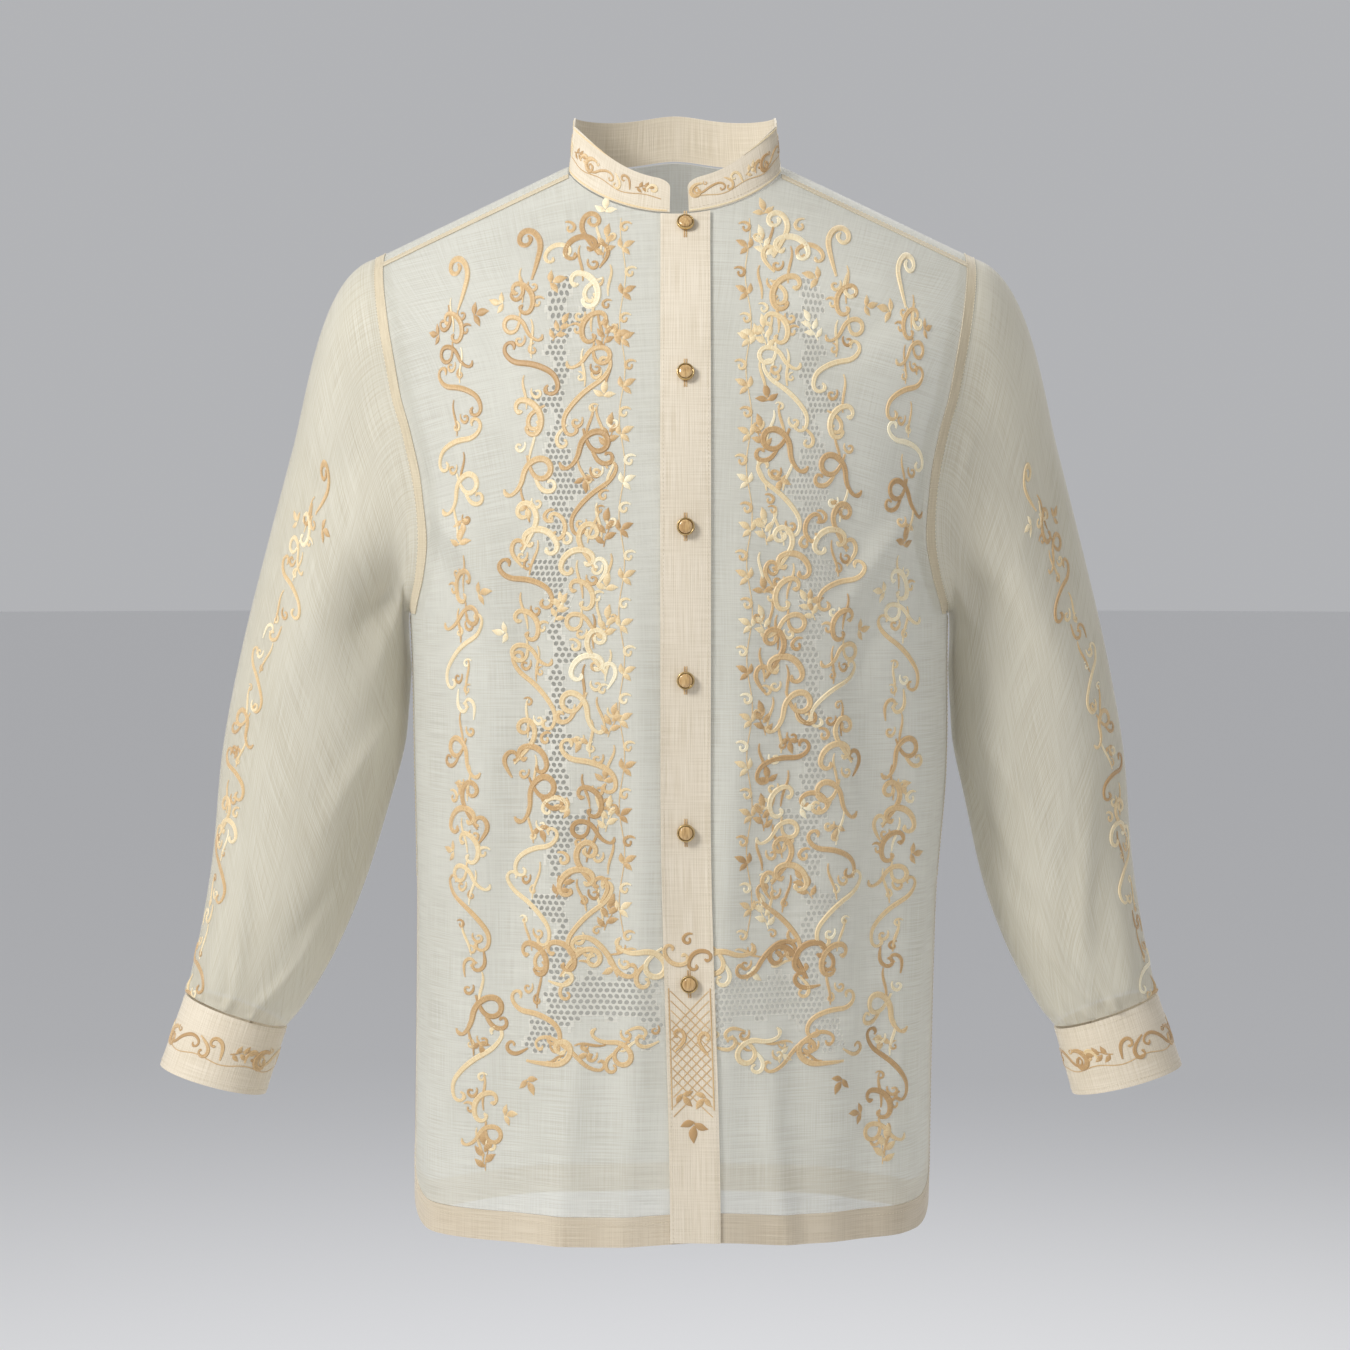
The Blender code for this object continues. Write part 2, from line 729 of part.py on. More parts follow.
def add_collar():
    rows = []
    for share in (1.0, 0.72, 0.38, 0.0):
        row = []
        for along in collar_places():
            foot, upward = collar_frame(along)
            row.append(foot + upward * collar_height(along) * share)
        rows.append(row)
    add_wall("collar", rows, -FIRM_WALL / 2, FIRM_WALL / 2, "Firm cloth")


# Sleeves and cuffs


def section_point(section, side, angle):
    """A point of a sleeve or cuff section: 0 is the outer side, 90 the front, 180 the inner side."""
    outer_x, outer_z, inner_x, inner_z, half_depth, centre_y = section
    swing = SLEEVE_SWING[side] * clamp((SWING_START_Z - outer_z) / SWING_LENGTH)
    outer = Vector((side * (outer_x + swing), centre_y, outer_z))
    lean = read_smoothly(TORSO_SECTIONS, inner_z, 4)
    inner = Vector((side * (inner_x + swing) + lean, centre_y, inner_z))
    turn = math.radians(angle)
    across = (outer - inner) / 2 * math.cos(turn)
    return (outer + inner) / 2 + across - Vector((0.0, half_depth * math.sin(turn), 0.0))


def section_between(sections, place):
    """The section at a place along a table of sections, by a smooth curve through its rows."""
    place = clamp(place, 0.0, len(sections) - 1)
    at = min(int(place), len(sections) - 2)
    before = sections[max(at - 1, 0)]
    after = sections[min(at + 2, len(sections) - 1)]
    here, there = sections[at], sections[at + 1]
    halves = (0.5 if at > 0 else 1.0, 0.5 if at + 2 < len(sections) else 1.0)
    return tuple(
        hermite(b, (c - a) * halves[0], c, (d - b) * halves[1], place - at)
        for a, b, c, d in zip(before, here, there, after)
    )


def armhole_loop(side):
    """The armhole seam's points, outward directions and ways off the panels.

    The loop starts at the shoulder seam and runs down the front, under the arm and up behind.
    """
    points, normals = [], []
    last = {1: FRONT_TURN_ROWS + UNDERARM_ROWS, -1: BACK_TURN_ROWS + UNDERARM_ROWS}
    for facing in (1, -1):
        columns = panel_columns(side, facing)[:3]
        grid = rows_from(columns[::-1] if side * facing > 0 else columns)
        edge = -1 if side * facing > 0 else 0
        facing_normals = grid_normals(grid, False)
        order = range(0, last[facing] + 1) if facing > 0 else range(last[facing] - 1, 0, -1)
        points += [grid[i][edge] for i in order]
        normals += [facing_normals[i][edge] for i in order]
    offs = []
    for i, normal in enumerate(normals):
        along = points[(i + 1) % len(points)] - points[i - 1]
        offs.append((normal.cross(along) * side).normalized())
    return points, normals, offs


def loop_angles(points):
    """An angle for each armhole point, 0 at the shoulder line and 180 under the arm, by length."""
    count = len(points)
    lowest = min(range(count), key=lambda i: points[i].z)
    behind = [i for i in range(lowest + 1, count) if points[i].y > 0.0]
    ridge_after, ridge_before = behind[-1], behind[-1] + 1
    a, b = points[ridge_after], points[ridge_before % count]
    ridge = a + (b - a) * (a.y / (a.y - b.y))
    angles = [0.0] * count
    for order, sign in ((list(range(ridge_before, count)) + list(range(0, lowest + 1)), 1.0),
                        (list(range(ridge_after, lowest - 1, -1)), -1.0)):
        lengths, last = [], ridge
        for i in order:
            lengths.append((lengths[-1] if lengths else 0.0) + (points[i] - last).length)
            last = points[i]
        for i, length in zip(order, lengths):
            angles[i] = (sign * 180.0 * length / lengths[-1]) % 360.0
    return angles


def sleeve_fold(along, angle):
    """How far the folds push the sleeve out at a share of its length and an angle round it."""
    total = 0.0
    for start, start_angle, end, end_angle, height, reach in SLEEVE_FOLDS:
        share = (along - start) / (end - start)
        if not 0.0 < share < 1.0:
            continue
        middle = start_angle + (end_angle - start_angle) * share
        off = (angle - middle + 180.0) % 360.0 - 180.0
        total += height * math.sin(math.pi * share) ** 0.7 * math.exp(-((off / reach) ** 2))
    return total * ease((1.0 - along) / SLEEVE_FOLD_FADE)


def sleeve_rows(side):
    points, normals, offs = armhole_loop(side)
    angles = loop_angles(points)
    outward = Vector((side, 0.0, 0.0))
    rows = []
    for share in CAP_STEPS:
        row = []
        for point, off, angle in zip(points, offs, angles):
            start = point + off * SEAM_GAP
            end = section_point(SLEEVE_SECTIONS[0], side, angle)
            onward = section_point(SLEEVE_SECTIONS[1], side, angle) - end
            reach = (end - start).length
            leave = (off + outward * CAP_OUTWARD).normalized() * reach * CAP_LEAVE
            arrive = onward.normalized() * reach * CAP_ARRIVE
            row.append(Vector([hermite(*parts, share) for parts in zip(start, leave, end, arrive)]))
        rows.append((CAP_SHARE * share, row))
    for i in range(SLEEVE_ROWS + 1):
        place = (len(SLEEVE_SECTIONS) - 1) * i / SLEEVE_ROWS
        section = section_between(SLEEVE_SECTIONS, place)
        row = [section_point(section, side, angle) for angle in angles]
        rows.append((CAP_SHARE + (1.0 - CAP_SHARE) * i / SLEEVE_ROWS, row))
    folded = []
    for along, row in rows:
        middle = sum(row, Vector()) / len(row)
        folded.append([
            point + (point - middle).normalized() * sleeve_fold(along, angle)
            for point, angle in zip(row, angles)
        ])
    # Round the sleeve in the order that faces its wall outwards.
    if side > 0:
        return [row[::-1] for row in folded], normals[::-1]
    return folded, normals


def add_sleeve(name, side):
    rows, seam_normals = sleeve_rows(side)
    normals = grid_normals(rows, True)
    normals[0] = seam_normals
    add_wall(name, rows, -WALL / 2, WALL / 2, "Sheer cloth", wrap=True, normals=normals)


def cuff_grid(side):
    """The cuff as a band wound once round, its upper end lapping over its lower end."""
    turns = CUFF_STEPS + CUFF_OVERLAP_STEPS
    rows = []
    for section in CUFF_SECTIONS:
        middle = (section_point(section, side, 0.0) + section_point(section, side, 180.0)) / 2
        row = []
        for i in range(turns + 1):
            point = section_point(section, side, 360.0 * (CUFF_OPENING_STEP + i) / CUFF_STEPS)
            rise = CUFF_OVERLAP_RISE * ease((i - CUFF_STEPS + CUFF_LAP_STEPS) / CUFF_LAP_STEPS)
            row.append(point + (point - middle).normalized() * rise)
        rows.append(row)
    return rows if side < 0 else [row[::-1] for row in rows]


def add_cuff(name, button_name, side):
    rows = cuff_grid(side)
    add_wall(name, rows, -FIRM_WALL / 2, FIRM_WALL / 2, "Firm cloth")
    normals = grid_normals(rows, False)
    lap = CUFF_OVERLAP_STEPS // 2
    at = -1 - lap if side < 0 else lap
    outward = normals[1][at]
    foot = rows[1][at] + outward * (FIRM_WALL / 2 + 2 * SEAM_GAP)
    add_turned(button_name, PLAIN_PROFILE, "Shirt button", foot, outward)


def main():
    clear_scene()
    add_back("back")
    add_front("front_left", 1)
    add_front("front_right", -1)
    add_hems()
    add_placket()
    add_collar()
    add_front_buttons()
    for label, side in (("left", 1), ("right", -1)):
        add_sleeve(f"sleeve_{label}", side)
        add_cuff(f"cuff_{label}", f"cuff_button_{label}", side)


if __name__ == "__main__":
    main()
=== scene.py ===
"""The looks of the barong tagalog: sheer cloth, firm bands, openwork, embroidery, buttons and stage.

Metres, +Z up. The front faces -Y and the wearer's left is +X. Laid out as an add-on and run as a
script: each piece or group of like pieces has its own operator.
"""

import collections
import math

import bpy
import numpy as np
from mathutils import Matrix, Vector


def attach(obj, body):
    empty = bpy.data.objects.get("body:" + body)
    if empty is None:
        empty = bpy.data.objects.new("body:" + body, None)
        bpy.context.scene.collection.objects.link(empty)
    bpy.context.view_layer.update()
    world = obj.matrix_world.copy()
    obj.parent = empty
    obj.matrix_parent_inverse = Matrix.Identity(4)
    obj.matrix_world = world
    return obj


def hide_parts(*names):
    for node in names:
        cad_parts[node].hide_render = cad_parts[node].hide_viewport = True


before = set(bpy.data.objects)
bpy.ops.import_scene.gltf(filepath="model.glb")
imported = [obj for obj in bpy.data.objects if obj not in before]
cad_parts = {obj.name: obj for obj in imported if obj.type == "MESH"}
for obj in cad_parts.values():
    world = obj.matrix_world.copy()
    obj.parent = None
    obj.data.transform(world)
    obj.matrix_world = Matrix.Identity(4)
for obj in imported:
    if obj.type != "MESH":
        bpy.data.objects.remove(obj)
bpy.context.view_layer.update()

bl_info = {
    "name": "Barong tagalog",
    "version": (1, 0, 0),
    "blender": (4, 5, 0),
    "location": "View3D > Sidebar > Barong",
    "description": "Builds the cloth, openwork, embroidery and buttons of a barong tagalog",
    "category": "Add Mesh",
}

MM = 0.001
SIDES = (("left", 1), ("right", -1))

# Sizes shared with the solids, in metres

NECK_HALF_WIDTH = 0.0775
FRONT_NECK_DROP = 0.041
FRONT_NECK_ROUNDNESS = 1.5
BACK_NECK_DEPTH = 0.055
BACK_DEPTH_AT_NECK = 0.083
NECK_FRONT_SHARE = 0.405
NECK_SIDE_SHARE = 0.527
SHOULDER_SLOPE = 0.483
NAPE_SOFTNESS = 0.020
SHOULDER_ROUNDING = 0.09
SHOULDER_SEAM_TURN = math.radians(25.0)
SHOULDER_SEAM_CLEARANCE = math.radians(0.6)
SHOULDER_START_Z = -0.03
UNDERARM_Z = -0.333
SLIT_TOP_Z = -0.527
HEM_Z = -0.787
BACK_HEM_Z = -0.793
HEM_LIFT_AT_CENTRE = 0.004
HEM_LIFT_REACH = 0.045
HEM_BAND = 0.022
SLIT_FACING = 0.007
SLIT_HALF_OPENING = 0.0012
SLIT_NOTCH = 0.004
SLIT_SPREAD = 0.025
CORNER_WIDTH = 0.070
CORNER_HEIGHT = 0.045
QUARTER_GIRTH = 0.272
SECTION_POWER = 2.2
SEAM_GAP = 0.0003
PLACKET_WIDTH = 0.036
PLACKET_X = 0.0075
PLACKET_DRIFT = 0.007
PLACKET_DRIFT_START_Z = -0.45
UNDERLAP = 0.012
PLACKET_LIFT = 0.0012
PLACKET_TOP_GAP = 0.0010
BUTTON_TOP_Z = -0.050
BUTTON_STEP = 0.109
BUTTON_COUNT = 6
BUTTON_LIFT = 0.0030
COLLAR_HEIGHT = 0.034
COLLAR_END_HEIGHT = 0.028
COLLAR_LIFT = 0.0014
COLLAR_START = 0.034
COLLAR_END = 1.987
COLLAR_FULL_AFTER = 0.34
COLLAR_LEANS = {"front": 0.50, "side": 0.09, "back": 0.14}
COLLAR_CORNER = 0.009
COLLAR_CORNER_FALL = 0.8
NECK_RING_HALF = 0.22
ARMHOLE_INSIDE = 0.006
CUFF_TURN = 15.0
CUFF_TURNS = 26
CUFF_OVERLAP_RISE = 0.0024
CUFF_OPENING_TURN = 17
CUFF_ROWS = 15
CUFF_COLUMNS = 157
CUFF_HEIGHT = 0.054
CAP_SHARE = 0.4
CAP_LEAVE = 0.8
CAP_ARRIVE = 0.9
CAP_OUTWARD = 0.9
SWING_START_Z = -0.211
SWING_LENGTH = 0.45
SLEEVE_SWING = {1: -0.003, -1: 0.003}

# Torso sections: height, half width, depth in front, depth behind, sideways shift
TORSO_SECTIONS = (
    (0.045, 0.385, 0.060, 0.070, 0.000),
    (0.000, 0.365, 0.064, 0.083, 0.000),
    (-0.040, 0.340, 0.0715, 0.100, 0.000),
    (-0.080, 0.310, 0.094, 0.117, 0.000),
    (-0.140, 0.252, 0.124, 0.136, 0.000),
    (-0.200, 0.225, 0.141, 0.147, 0.000),
    (-0.270, 0.2065, 0.149, 0.148, 0.001),
    (-0.335, 0.2005, 0.150, 0.144, 0.003),
    (-0.450, 0.1985, 0.146, 0.134, 0.004),
    (-0.550, 0.1940, 0.141, 0.131, 0.001),
    (-0.800, 0.1930, 0.135, 0.137, -0.003),
)
# Armhole seam: height, distance from the middle
ARMHOLE = (
    (-0.070, 0.2220), (-0.0865, 0.2210), (-0.125, 0.2150), (-0.150, 0.2105), (-0.176, 0.2055),
    (-0.200, 0.1985), (-0.240, 0.1905), (-0.275, 0.1885), (-0.305, 0.1925), (-0.325, 0.1985),
    (UNDERARM_Z, 0.2005),
)
# Sleeve and cuff sections: outer x, outer z, inner x, inner z, half depth, centre y
SLEEVE_SECTIONS = (
    (0.2880, -0.211, 0.2035, -0.380, 0.074, 0.026),
    (0.3075, -0.286, 0.2050, -0.405, 0.070, 0.024),
    (0.3255, -0.361, 0.2075, -0.434, 0.067, 0.020),
    (0.3390, -0.436, 0.2170, -0.474, 0.063, 0.014),
    (0.3450, -0.511, 0.2330, -0.535, 0.058, 0.006),
    (0.3515, -0.560, 0.2520, -0.584, 0.053, -0.002),
    (0.3590, -0.598, 0.2740, -0.624, 0.048, -0.008),
    (0.3630, -0.6155, 0.2880, -0.642, 0.0415, -0.011),
)
CUFF_SECTIONS = (
    (0.3635, -0.6175, 0.2885, -0.6440, 0.0400, -0.0115),
    (0.3725, -0.6440, 0.2955, -0.6680, 0.0408, -0.0150),
    (0.3815, -0.6700, 0.3025, -0.6920, 0.0415, -0.0185),
)
# Soft folds on the sleeves: start along, start around, end along, end around, height, reach
SLEEVE_FOLDS = (
    (0.06, 128.0, 0.62, 62.0, 0.0065, 15.0),
    (0.05, 158.0, 0.55, 104.0, -0.0050, 14.0),
    (0.10, 96.0, 0.50, 34.0, -0.0040, 15.0),
    (0.08, 222.0, 0.70, 292.0, 0.0055, 16.0),
    (0.08, 250.0, 0.60, 322.0, -0.0045, 15.0),
    (0.72, 40.0, 1.02, 70.0, 0.0035, 14.0),
    (0.70, 300.0, 1.02, 280.0, 0.0035, 15.0),
)
SLEEVE_FOLD_FADE = 0.08
# Smaller creases on each sleeve, in the same columns
SLEEVE_CREASES = {
    1: (
        (0.12, 150.0, 0.46, 118.0, 0.0030, 6.0), (0.16, 138.0, 0.52, 92.0, -0.0022, 7.0),
        (0.50, 150.0, 0.74, 96.0, 0.0022, 9.0), (0.58, 172.0, 0.80, 120.0, -0.0020, 8.0),
        (0.66, 60.0, 0.90, 100.0, 0.0016, 8.0), (0.78, 128.0, 0.97, 92.0, 0.0018, 8.0),
        (0.30, 230.0, 0.62, 262.0, 0.0024, 9.0), (0.62, 240.0, 0.88, 218.0, 0.0022, 9.0),
    ),
    -1: (
        (0.10, 156.0, 0.50, 126.0, 0.0034, 7.0), (0.18, 146.0, 0.48, 104.0, -0.0024, 6.0),
        (0.46, 160.0, 0.72, 108.0, 0.0020, 8.0), (0.60, 166.0, 0.84, 112.0, -0.0022, 9.0),
        (0.70, 52.0, 0.94, 86.0, 0.0018, 8.0), (0.80, 136.0, 0.98, 104.0, 0.0016, 7.0),
        (0.26, 236.0, 0.58, 258.0, 0.0022, 9.0), (0.66, 232.0, 0.90, 226.0, 0.0020, 8.0),
    ),
}
# Gathers where the sleeve meets its cuff: around, height, reach, share of the length
SLEEVE_GATHERS = (
    (20.0, 0.0016, 5.0, 0.08), (48.0, 0.0012, 4.0, 0.06), (83.0, 0.0018, 5.0, 0.10),
    (112.0, 0.0013, 4.0, 0.07), (140.0, 0.0016, 5.0, 0.09), (205.0, 0.0014, 5.0, 0.08),
    (238.0, 0.0017, 5.0, 0.10), (284.0, 0.0013, 4.0, 0.07), (318.0, 0.0016, 5.0, 0.09),
)
# Broad folds down the back: distance from the middle, height, half width, top
BACK_FOLDS = (
    (-0.105, 0.0045, 0.024, -0.150),
    (-0.040, -0.0030, 0.022, -0.260),
    (0.055, -0.0035, 0.020, -0.220),
    (0.118, 0.0040, 0.022, -0.170),
)
BACK_FOLD_FADE = 0.12
# Creases of the body: from x, from z, to x, to z, height, reach
FRONT_CREASES = (
    (-0.150, -0.200, -0.160, -0.900, 0.0032, 0.020), (-0.116, -0.260, -0.112, -0.900, -0.0024, 0.017),
    (-0.028, -0.240, -0.036, -0.900, 0.0022, 0.013), (-0.070, -0.380, -0.076, -0.900, 0.0018, 0.018),
    (0.044, -0.220, 0.038, -0.900, 0.0024, 0.014), (0.090, -0.340, 0.084, -0.900, -0.0020, 0.018),
    (0.130, -0.200, 0.140, -0.900, -0.0026, 0.017), (0.168, -0.260, 0.170, -0.900, 0.0034, 0.013),
    (0.190, -0.225, 0.110, -0.350, 0.0026, 0.009), (0.186, -0.262, 0.120, -0.400, -0.0020, 0.009),
    (-0.190, -0.230, -0.108, -0.360, 0.0026, 0.009), (-0.186, -0.266, -0.124, -0.410, -0.0020, 0.009),
    (0.175, -0.080, 0.110, -0.170, -0.0014, 0.014), (-0.175, -0.080, -0.110, -0.170, -0.0014, 0.014),
    (0.165, -0.560, 0.120, -0.660, 0.0014, 0.010), (-0.175, -0.600, -0.100, -0.690, 0.0014, 0.011),
    (-0.060, -0.640, -0.100, -0.880, 0.0018, 0.010), (0.070, -0.620, 0.096, -0.880, 0.0018, 0.010),
)
BACK_CREASES = (
    (0.190, -0.190, 0.080, -0.330, 0.0026, 0.010), (-0.190, -0.200, -0.086, -0.350, 0.0028, 0.010),
    (0.186, -0.240, 0.100, -0.400, -0.0020, 0.010), (-0.186, -0.250, -0.096, -0.410, -0.0020, 0.010),
    (0.070, -0.060, 0.020, -0.200, 0.0016, 0.014), (-0.066, -0.060, -0.024, -0.190, 0.0016, 0.014),
    (0.010, -0.300, 0.016, -0.900, 0.0026, 0.016), (-0.075, -0.420, -0.070, -0.900, -0.0020, 0.014),
    (0.150, -0.360, 0.152, -0.900, -0.0022, 0.015), (-0.160, -0.340, -0.156, -0.900, -0.0022, 0.015),
    (0.090, -0.640, 0.130, -0.740, 0.0016, 0.010), (-0.120, -0.600, -0.060, -0.700, 0.0016, 0.011),
)
CREASE_EDGE_FADE = 0.016

# Embroidery

# A drawn figure: starting direction in degrees, thread width in mm, then (length in mm, turn)
FIGURES = {
    "cane": (78.0, 3.0, ((20.0, 6.0), (14.0, 70.0), (13.0, 130.0), (10.0, 150.0), (5.0, 90.0))),
    "ess": (20.0, 2.8, ((6.0, 130.0), (9.0, 120.0), (13.0, 60.0), (20.0, -30.0), (12.0, -60.0),
                        (9.0, -120.0), (6.0, -130.0))),
    "tall_ess": (20.0, 2.8, ((6.0, 130.0), (9.0, 120.0), (16.0, 40.0), (30.0, -25.0), (14.0, -60.0),
                             (9.0, -120.0), (6.0, -130.0))),
    "cee": (-60.0, 3.0, ((5.0, 120.0), (8.0, 110.0), (12.0, 55.0), (12.0, 55.0), (8.0, 110.0),
                         (5.0, 120.0))),
    "hook": (250.0, 2.4, ((10.0, 10.0), (9.0, 70.0), (8.0, 120.0), (5.0, 120.0))),
    "loop": (262.0, 3.0, ((12.0, 20.0), (13.0, 120.0), (14.0, 130.0), (17.0, 75.0), (14.0, -50.0),
                          (8.0, -130.0))),
    "curl": (160.0, 1.8, ((7.0, 80.0), (6.0, 120.0), (5.0, 150.0))),
    "twig": (90.0, 0.9, ((11.0, 18.0), (11.0, -22.0))),
}
BOTH_ENDS_CURLED = ("ess", "tall_ess", "cee")
MOTIF_SCALE = 1.12
THREAD_FULLNESS = 1.4
LEAF_FULLNESS = 1.25
# A cluster of leaves: place along the twig from its foot, side, lean in degrees, length in mm
LEAVES = {
    "spray": ((3.0, 1, 55.0, 8.0), (6.0, -1, 55.0, 8.5), (11.0, 1, 45.0, 8.5), (14.0, -1, 45.0, 8.5),
              (19.0, 0, 0.0, 9.5)),
    "trio": ((1.0, 1, 70.0, 7.5), (1.5, -1, 70.0, 7.5), (3.0, 0, 0.0, 9.0)),
}
# A motif: rows of (figure or leaves, across, up, turn in degrees, scale, flip)
MOTIFS = {
    "crest": (("cane", 0, 4, -8, 1.05, 1), ("hook", -8, -18, 0, 0.9, -1), ("trio", 14, -16, -75, 0.9, 1)),
    "knot": (("cee", 2, 9, 15, 1.0, 1), ("loop", -1, -10, 0, 0.85, 1), ("curl", -10, 8, 20, 1.0, -1),
             ("trio", 15, 4, -80, 0.85, 1)),
    "ess": (("ess", 0, 0, 0, 1.0, 1), ("curl", 7, 10, 0, 0.8, 1)),
    "long_ess": (("tall_ess", 0, 0, 0, 1.0, 1), ("curl", -8, -6, 0, 0.8, -1), ("curl", 8, 12, 0, 0.8, 1)),
    "ring": (("loop", 0, 2, -12, 1.05, 1), ("hook", 9, -8, 10, 1.0, 1), ("trio", -9, -16, 160, 0.8, 1)),
    "brace": (("cee", 0, 0, 0, 1.15, 1), ("hook", -7, 2, 30, 1.0, -1)),
    "flourish": (("cane", 6, 3, 25, 1.0, -1), ("cee", -5, -8, -20, 1.1, 1), ("hook", 10, -14, 160, 1.0, 1),
                 ("curl", -13, 9, 0, 1.1, -1)),
    "hooks": (("hook", -4, 3, 10, 1.0, 1), ("hook", 5, -4, 190, 0.9, 1), ("curl", 2, 12, 0, 0.9, 1)),
    "spray": (("spray", 0, 0, 0, 1.0, 1),),
    "trio": (("trio", 0, 0, 0, 1.0, 1),),
    "curl": (("curl", 0, 0, 0, 1.0, 1),),
    "hook": (("hook", 0, 0, 0, 1.0, 1),),
    "cee": (("cee", 0, 0, 0, 1.0, 1),),
}
# A line of motifs, in mm: its two ends as (across, up), how far the motifs step aside in turn, the
# turn and size shared by all of them, and the motifs in order
MotifLine = collections.namedtuple("MotifLine", "start end sway turn size motifs")
# Lines of a front, across from the button band's middle and up from the neck point
FRONT_LINES = (
    MotifLine((115, -75), (110, -620), 3.0, 0.0, 1.0,
              ("crest", "knot", "ess", "brace", "ring", "flourish", "ess", "knot", "long_ess",
               "flourish", "ring", "ess", "long_ess", "brace", "ess")),
    MotifLine((71, -60), (69, -550), 3.5, 0.0, 1.0,
              ("flourish", "brace", "knot", "long_ess", "ring", "long_ess", "flourish", "knot",
               "flourish", "ring", "ess", "knot", "flourish", "long_ess")),
    MotifLine((58, -40), (57, -555), 1.5, 12.0, 0.9, ("trio", "spray", "curl", "spray") * 4),
    MotifLine((92, -70), (90, -600), 6.0, 30.0, 0.85, ("cee", "spray", "hook") * 3),
    MotifLine((176, -95), (152, -735), 2.0, 0.0, 1.0,
              ("crest", "knot", "ess", "ess", "ring", "trio", "knot", "long_ess", "hooks", "ring",
               "flourish", "knot", "long_ess", "hooks", "ring", "long_ess", "knot", "spray")),
    MotifLine((30, -575), (82, -580), 2.0, 68.0, 1.0, ("ring", "ess", "flourish")),
    MotifLine((104, -650), (30, -635), 4.0, 75.0, 0.95, ("crest", "long_ess", "ring", "hooks")),
)
# How far round its sway each next motif is, and the leans and sizes of the kinds
SWAY_STEP = 2.2
MOTIF_SIZE = 0.94
MOTIF_LEANS = {"ess": 28.0, "long_ess": 20.0, "ring": 35.0, "brace": 10.0}
MOTIF_SIZES = {"crest": 1.0, "ess": 0.97, "long_ess": 0.87, "brace": 0.9, "hooks": 0.85, "spray": 0.85}
# Openwork of a front, in the same mm: bays down a ladder, a pocket beside each, and the low band
OPENWORK_MIDDLE = 91.0
OPENWORK_TOP = -88.0
OPENWORK_BAY = 60.0
OPENWORK_BAYS = 9
OPENWORK_WIDTHS = (16.0, 12.0, 18.0)
# Waves of the openwork's edges, each as size and running length in mm
EDGE_WAVE = (2.6, 5.3)
EDGE_RIPPLE = (1.6, 2.3)
EDGE_RIPPLE_SLANT = 6.0
LEVEL_WAVE = (3.0, 4.1)
POCKET_DROP = 22.0
POCKET_SIZE = 15.0
LOW_OPENWORK = ((18, 95, -590, -620), (18, 30, -620, -640), (90, 115, -620, -645))
# Motifs on the button band, in mm from its middle and above the neck point
BAND_MOTIFS = (
    ("cee", -9, -574, 100, 0.75, 1), ("cee", 8, -578, 80, 0.75, -1), ("curl", 0, -562, 0, 0.9, 1),
    ("hook", -10, -636, 150, 0.8, 1), ("hook", 11, -638, 200, 0.8, -1), ("trio", 1, -694, 180, 1.0, 1),
    ("trio", 10, -676, 140, 0.75, 1), ("trio", -8, -674, 215, 0.75, 1),
)
# The vine of a sleeve, across from its own line and up from its top
SLEEVE_VINE = MotifLine((0, -20), (0, -420), 2.0, 0.0, 0.86,
                        ("crest", "knot", "ess", "hooks", "long_ess", "ring", "ess", "flourish",
                         "long_ess", "hooks", "ess", "knot"))
SLEEVE_VINE_TOP_ALONG = 0.30
# The vine's line in degrees round the sleeve: at its top, how far it moves forward, over what share
SLEEVE_VINE_TURN = 62.0
SLEEVE_VINE_TURNS_BY = 34.0
SLEEVE_VINE_TURN_REACH = 0.6
# The middle in mm and the size of the vines along the cuffs and the collar
CUFF_VINE = (27.0, 1.15)
COLLAR_VINE = (17.0, 0.85)
# Vines that run along a band: motif, turn, scale, flip, step to the next in mm
BAND_VINE = (
    ("curl", 0, 1.5, 1, 12.0), ("ess", 75, 0.55, 1, 17.0), ("hook", 40, 0.7, -1, 10.0),
    ("hook", 200, 0.7, 1, 9.0), ("spray", -75, 0.55, 1, 15.0), ("curl", 90, 1.1, -1, 9.0),
)


def clamp(value, low=0.0, high=1.0):
    """A value held between two others."""
    return np.minimum(np.maximum(value, low), high)


def ease(value):
    """A share from 0 to 1 that starts and ends softly."""
    value = clamp(value)
    return value * value * (3.0 - 2.0 * value)


def signed_power(value, exponent):
    """The power of a size, with its sign kept."""
    return np.sign(value) * np.abs(value) ** exponent


def hermite(start, start_slope, end, end_slope, t):
    """A curve between two points with given slopes."""
    return (
        start * (2 * t**3 - 3 * t**2 + 1)
        + start_slope * (t**3 - 2 * t**2 + t)
        + end * (3 * t**2 - 2 * t**3)
        + end_slope * (t**3 - t**2)
    )


def running_length(line):
    """The length along a line of points, from its start to each of them."""
    return np.concatenate([[0.0], np.cumsum(np.linalg.norm(np.diff(line, axis=0), axis=1))])


def unit(vectors):
    """Vectors brought to a length of one."""
    return vectors / np.maximum(np.linalg.norm(vectors, axis=-1, keepdims=True), 1e-12)


def smooth_column(table, column):
    """A smooth curve through one column of a table whose first column falls."""
    keys = np.array([row[0] for row in table])
    values = np.array([row[column] for row in table])
    slopes = np.empty(len(keys))
    slopes[1:-1] = (values[2:] - values[:-2]) / (keys[2:] - keys[:-2])
    slopes[0] = (values[1] - values[0]) / (keys[1] - keys[0])
    slopes[-1] = (values[-1] - values[-2]) / (keys[-1] - keys[-2])

    def read(z):
        at = np.clip(np.searchsorted(-keys, -np.asarray(z, float), side="right") - 1, 0, len(keys) - 2)
        span = keys[at + 1] - keys[at]
        t = clamp((z - keys[at]) / span)
        return hermite(values[at], slopes[at] * span, values[at + 1], slopes[at + 1] * span, t)

    return read


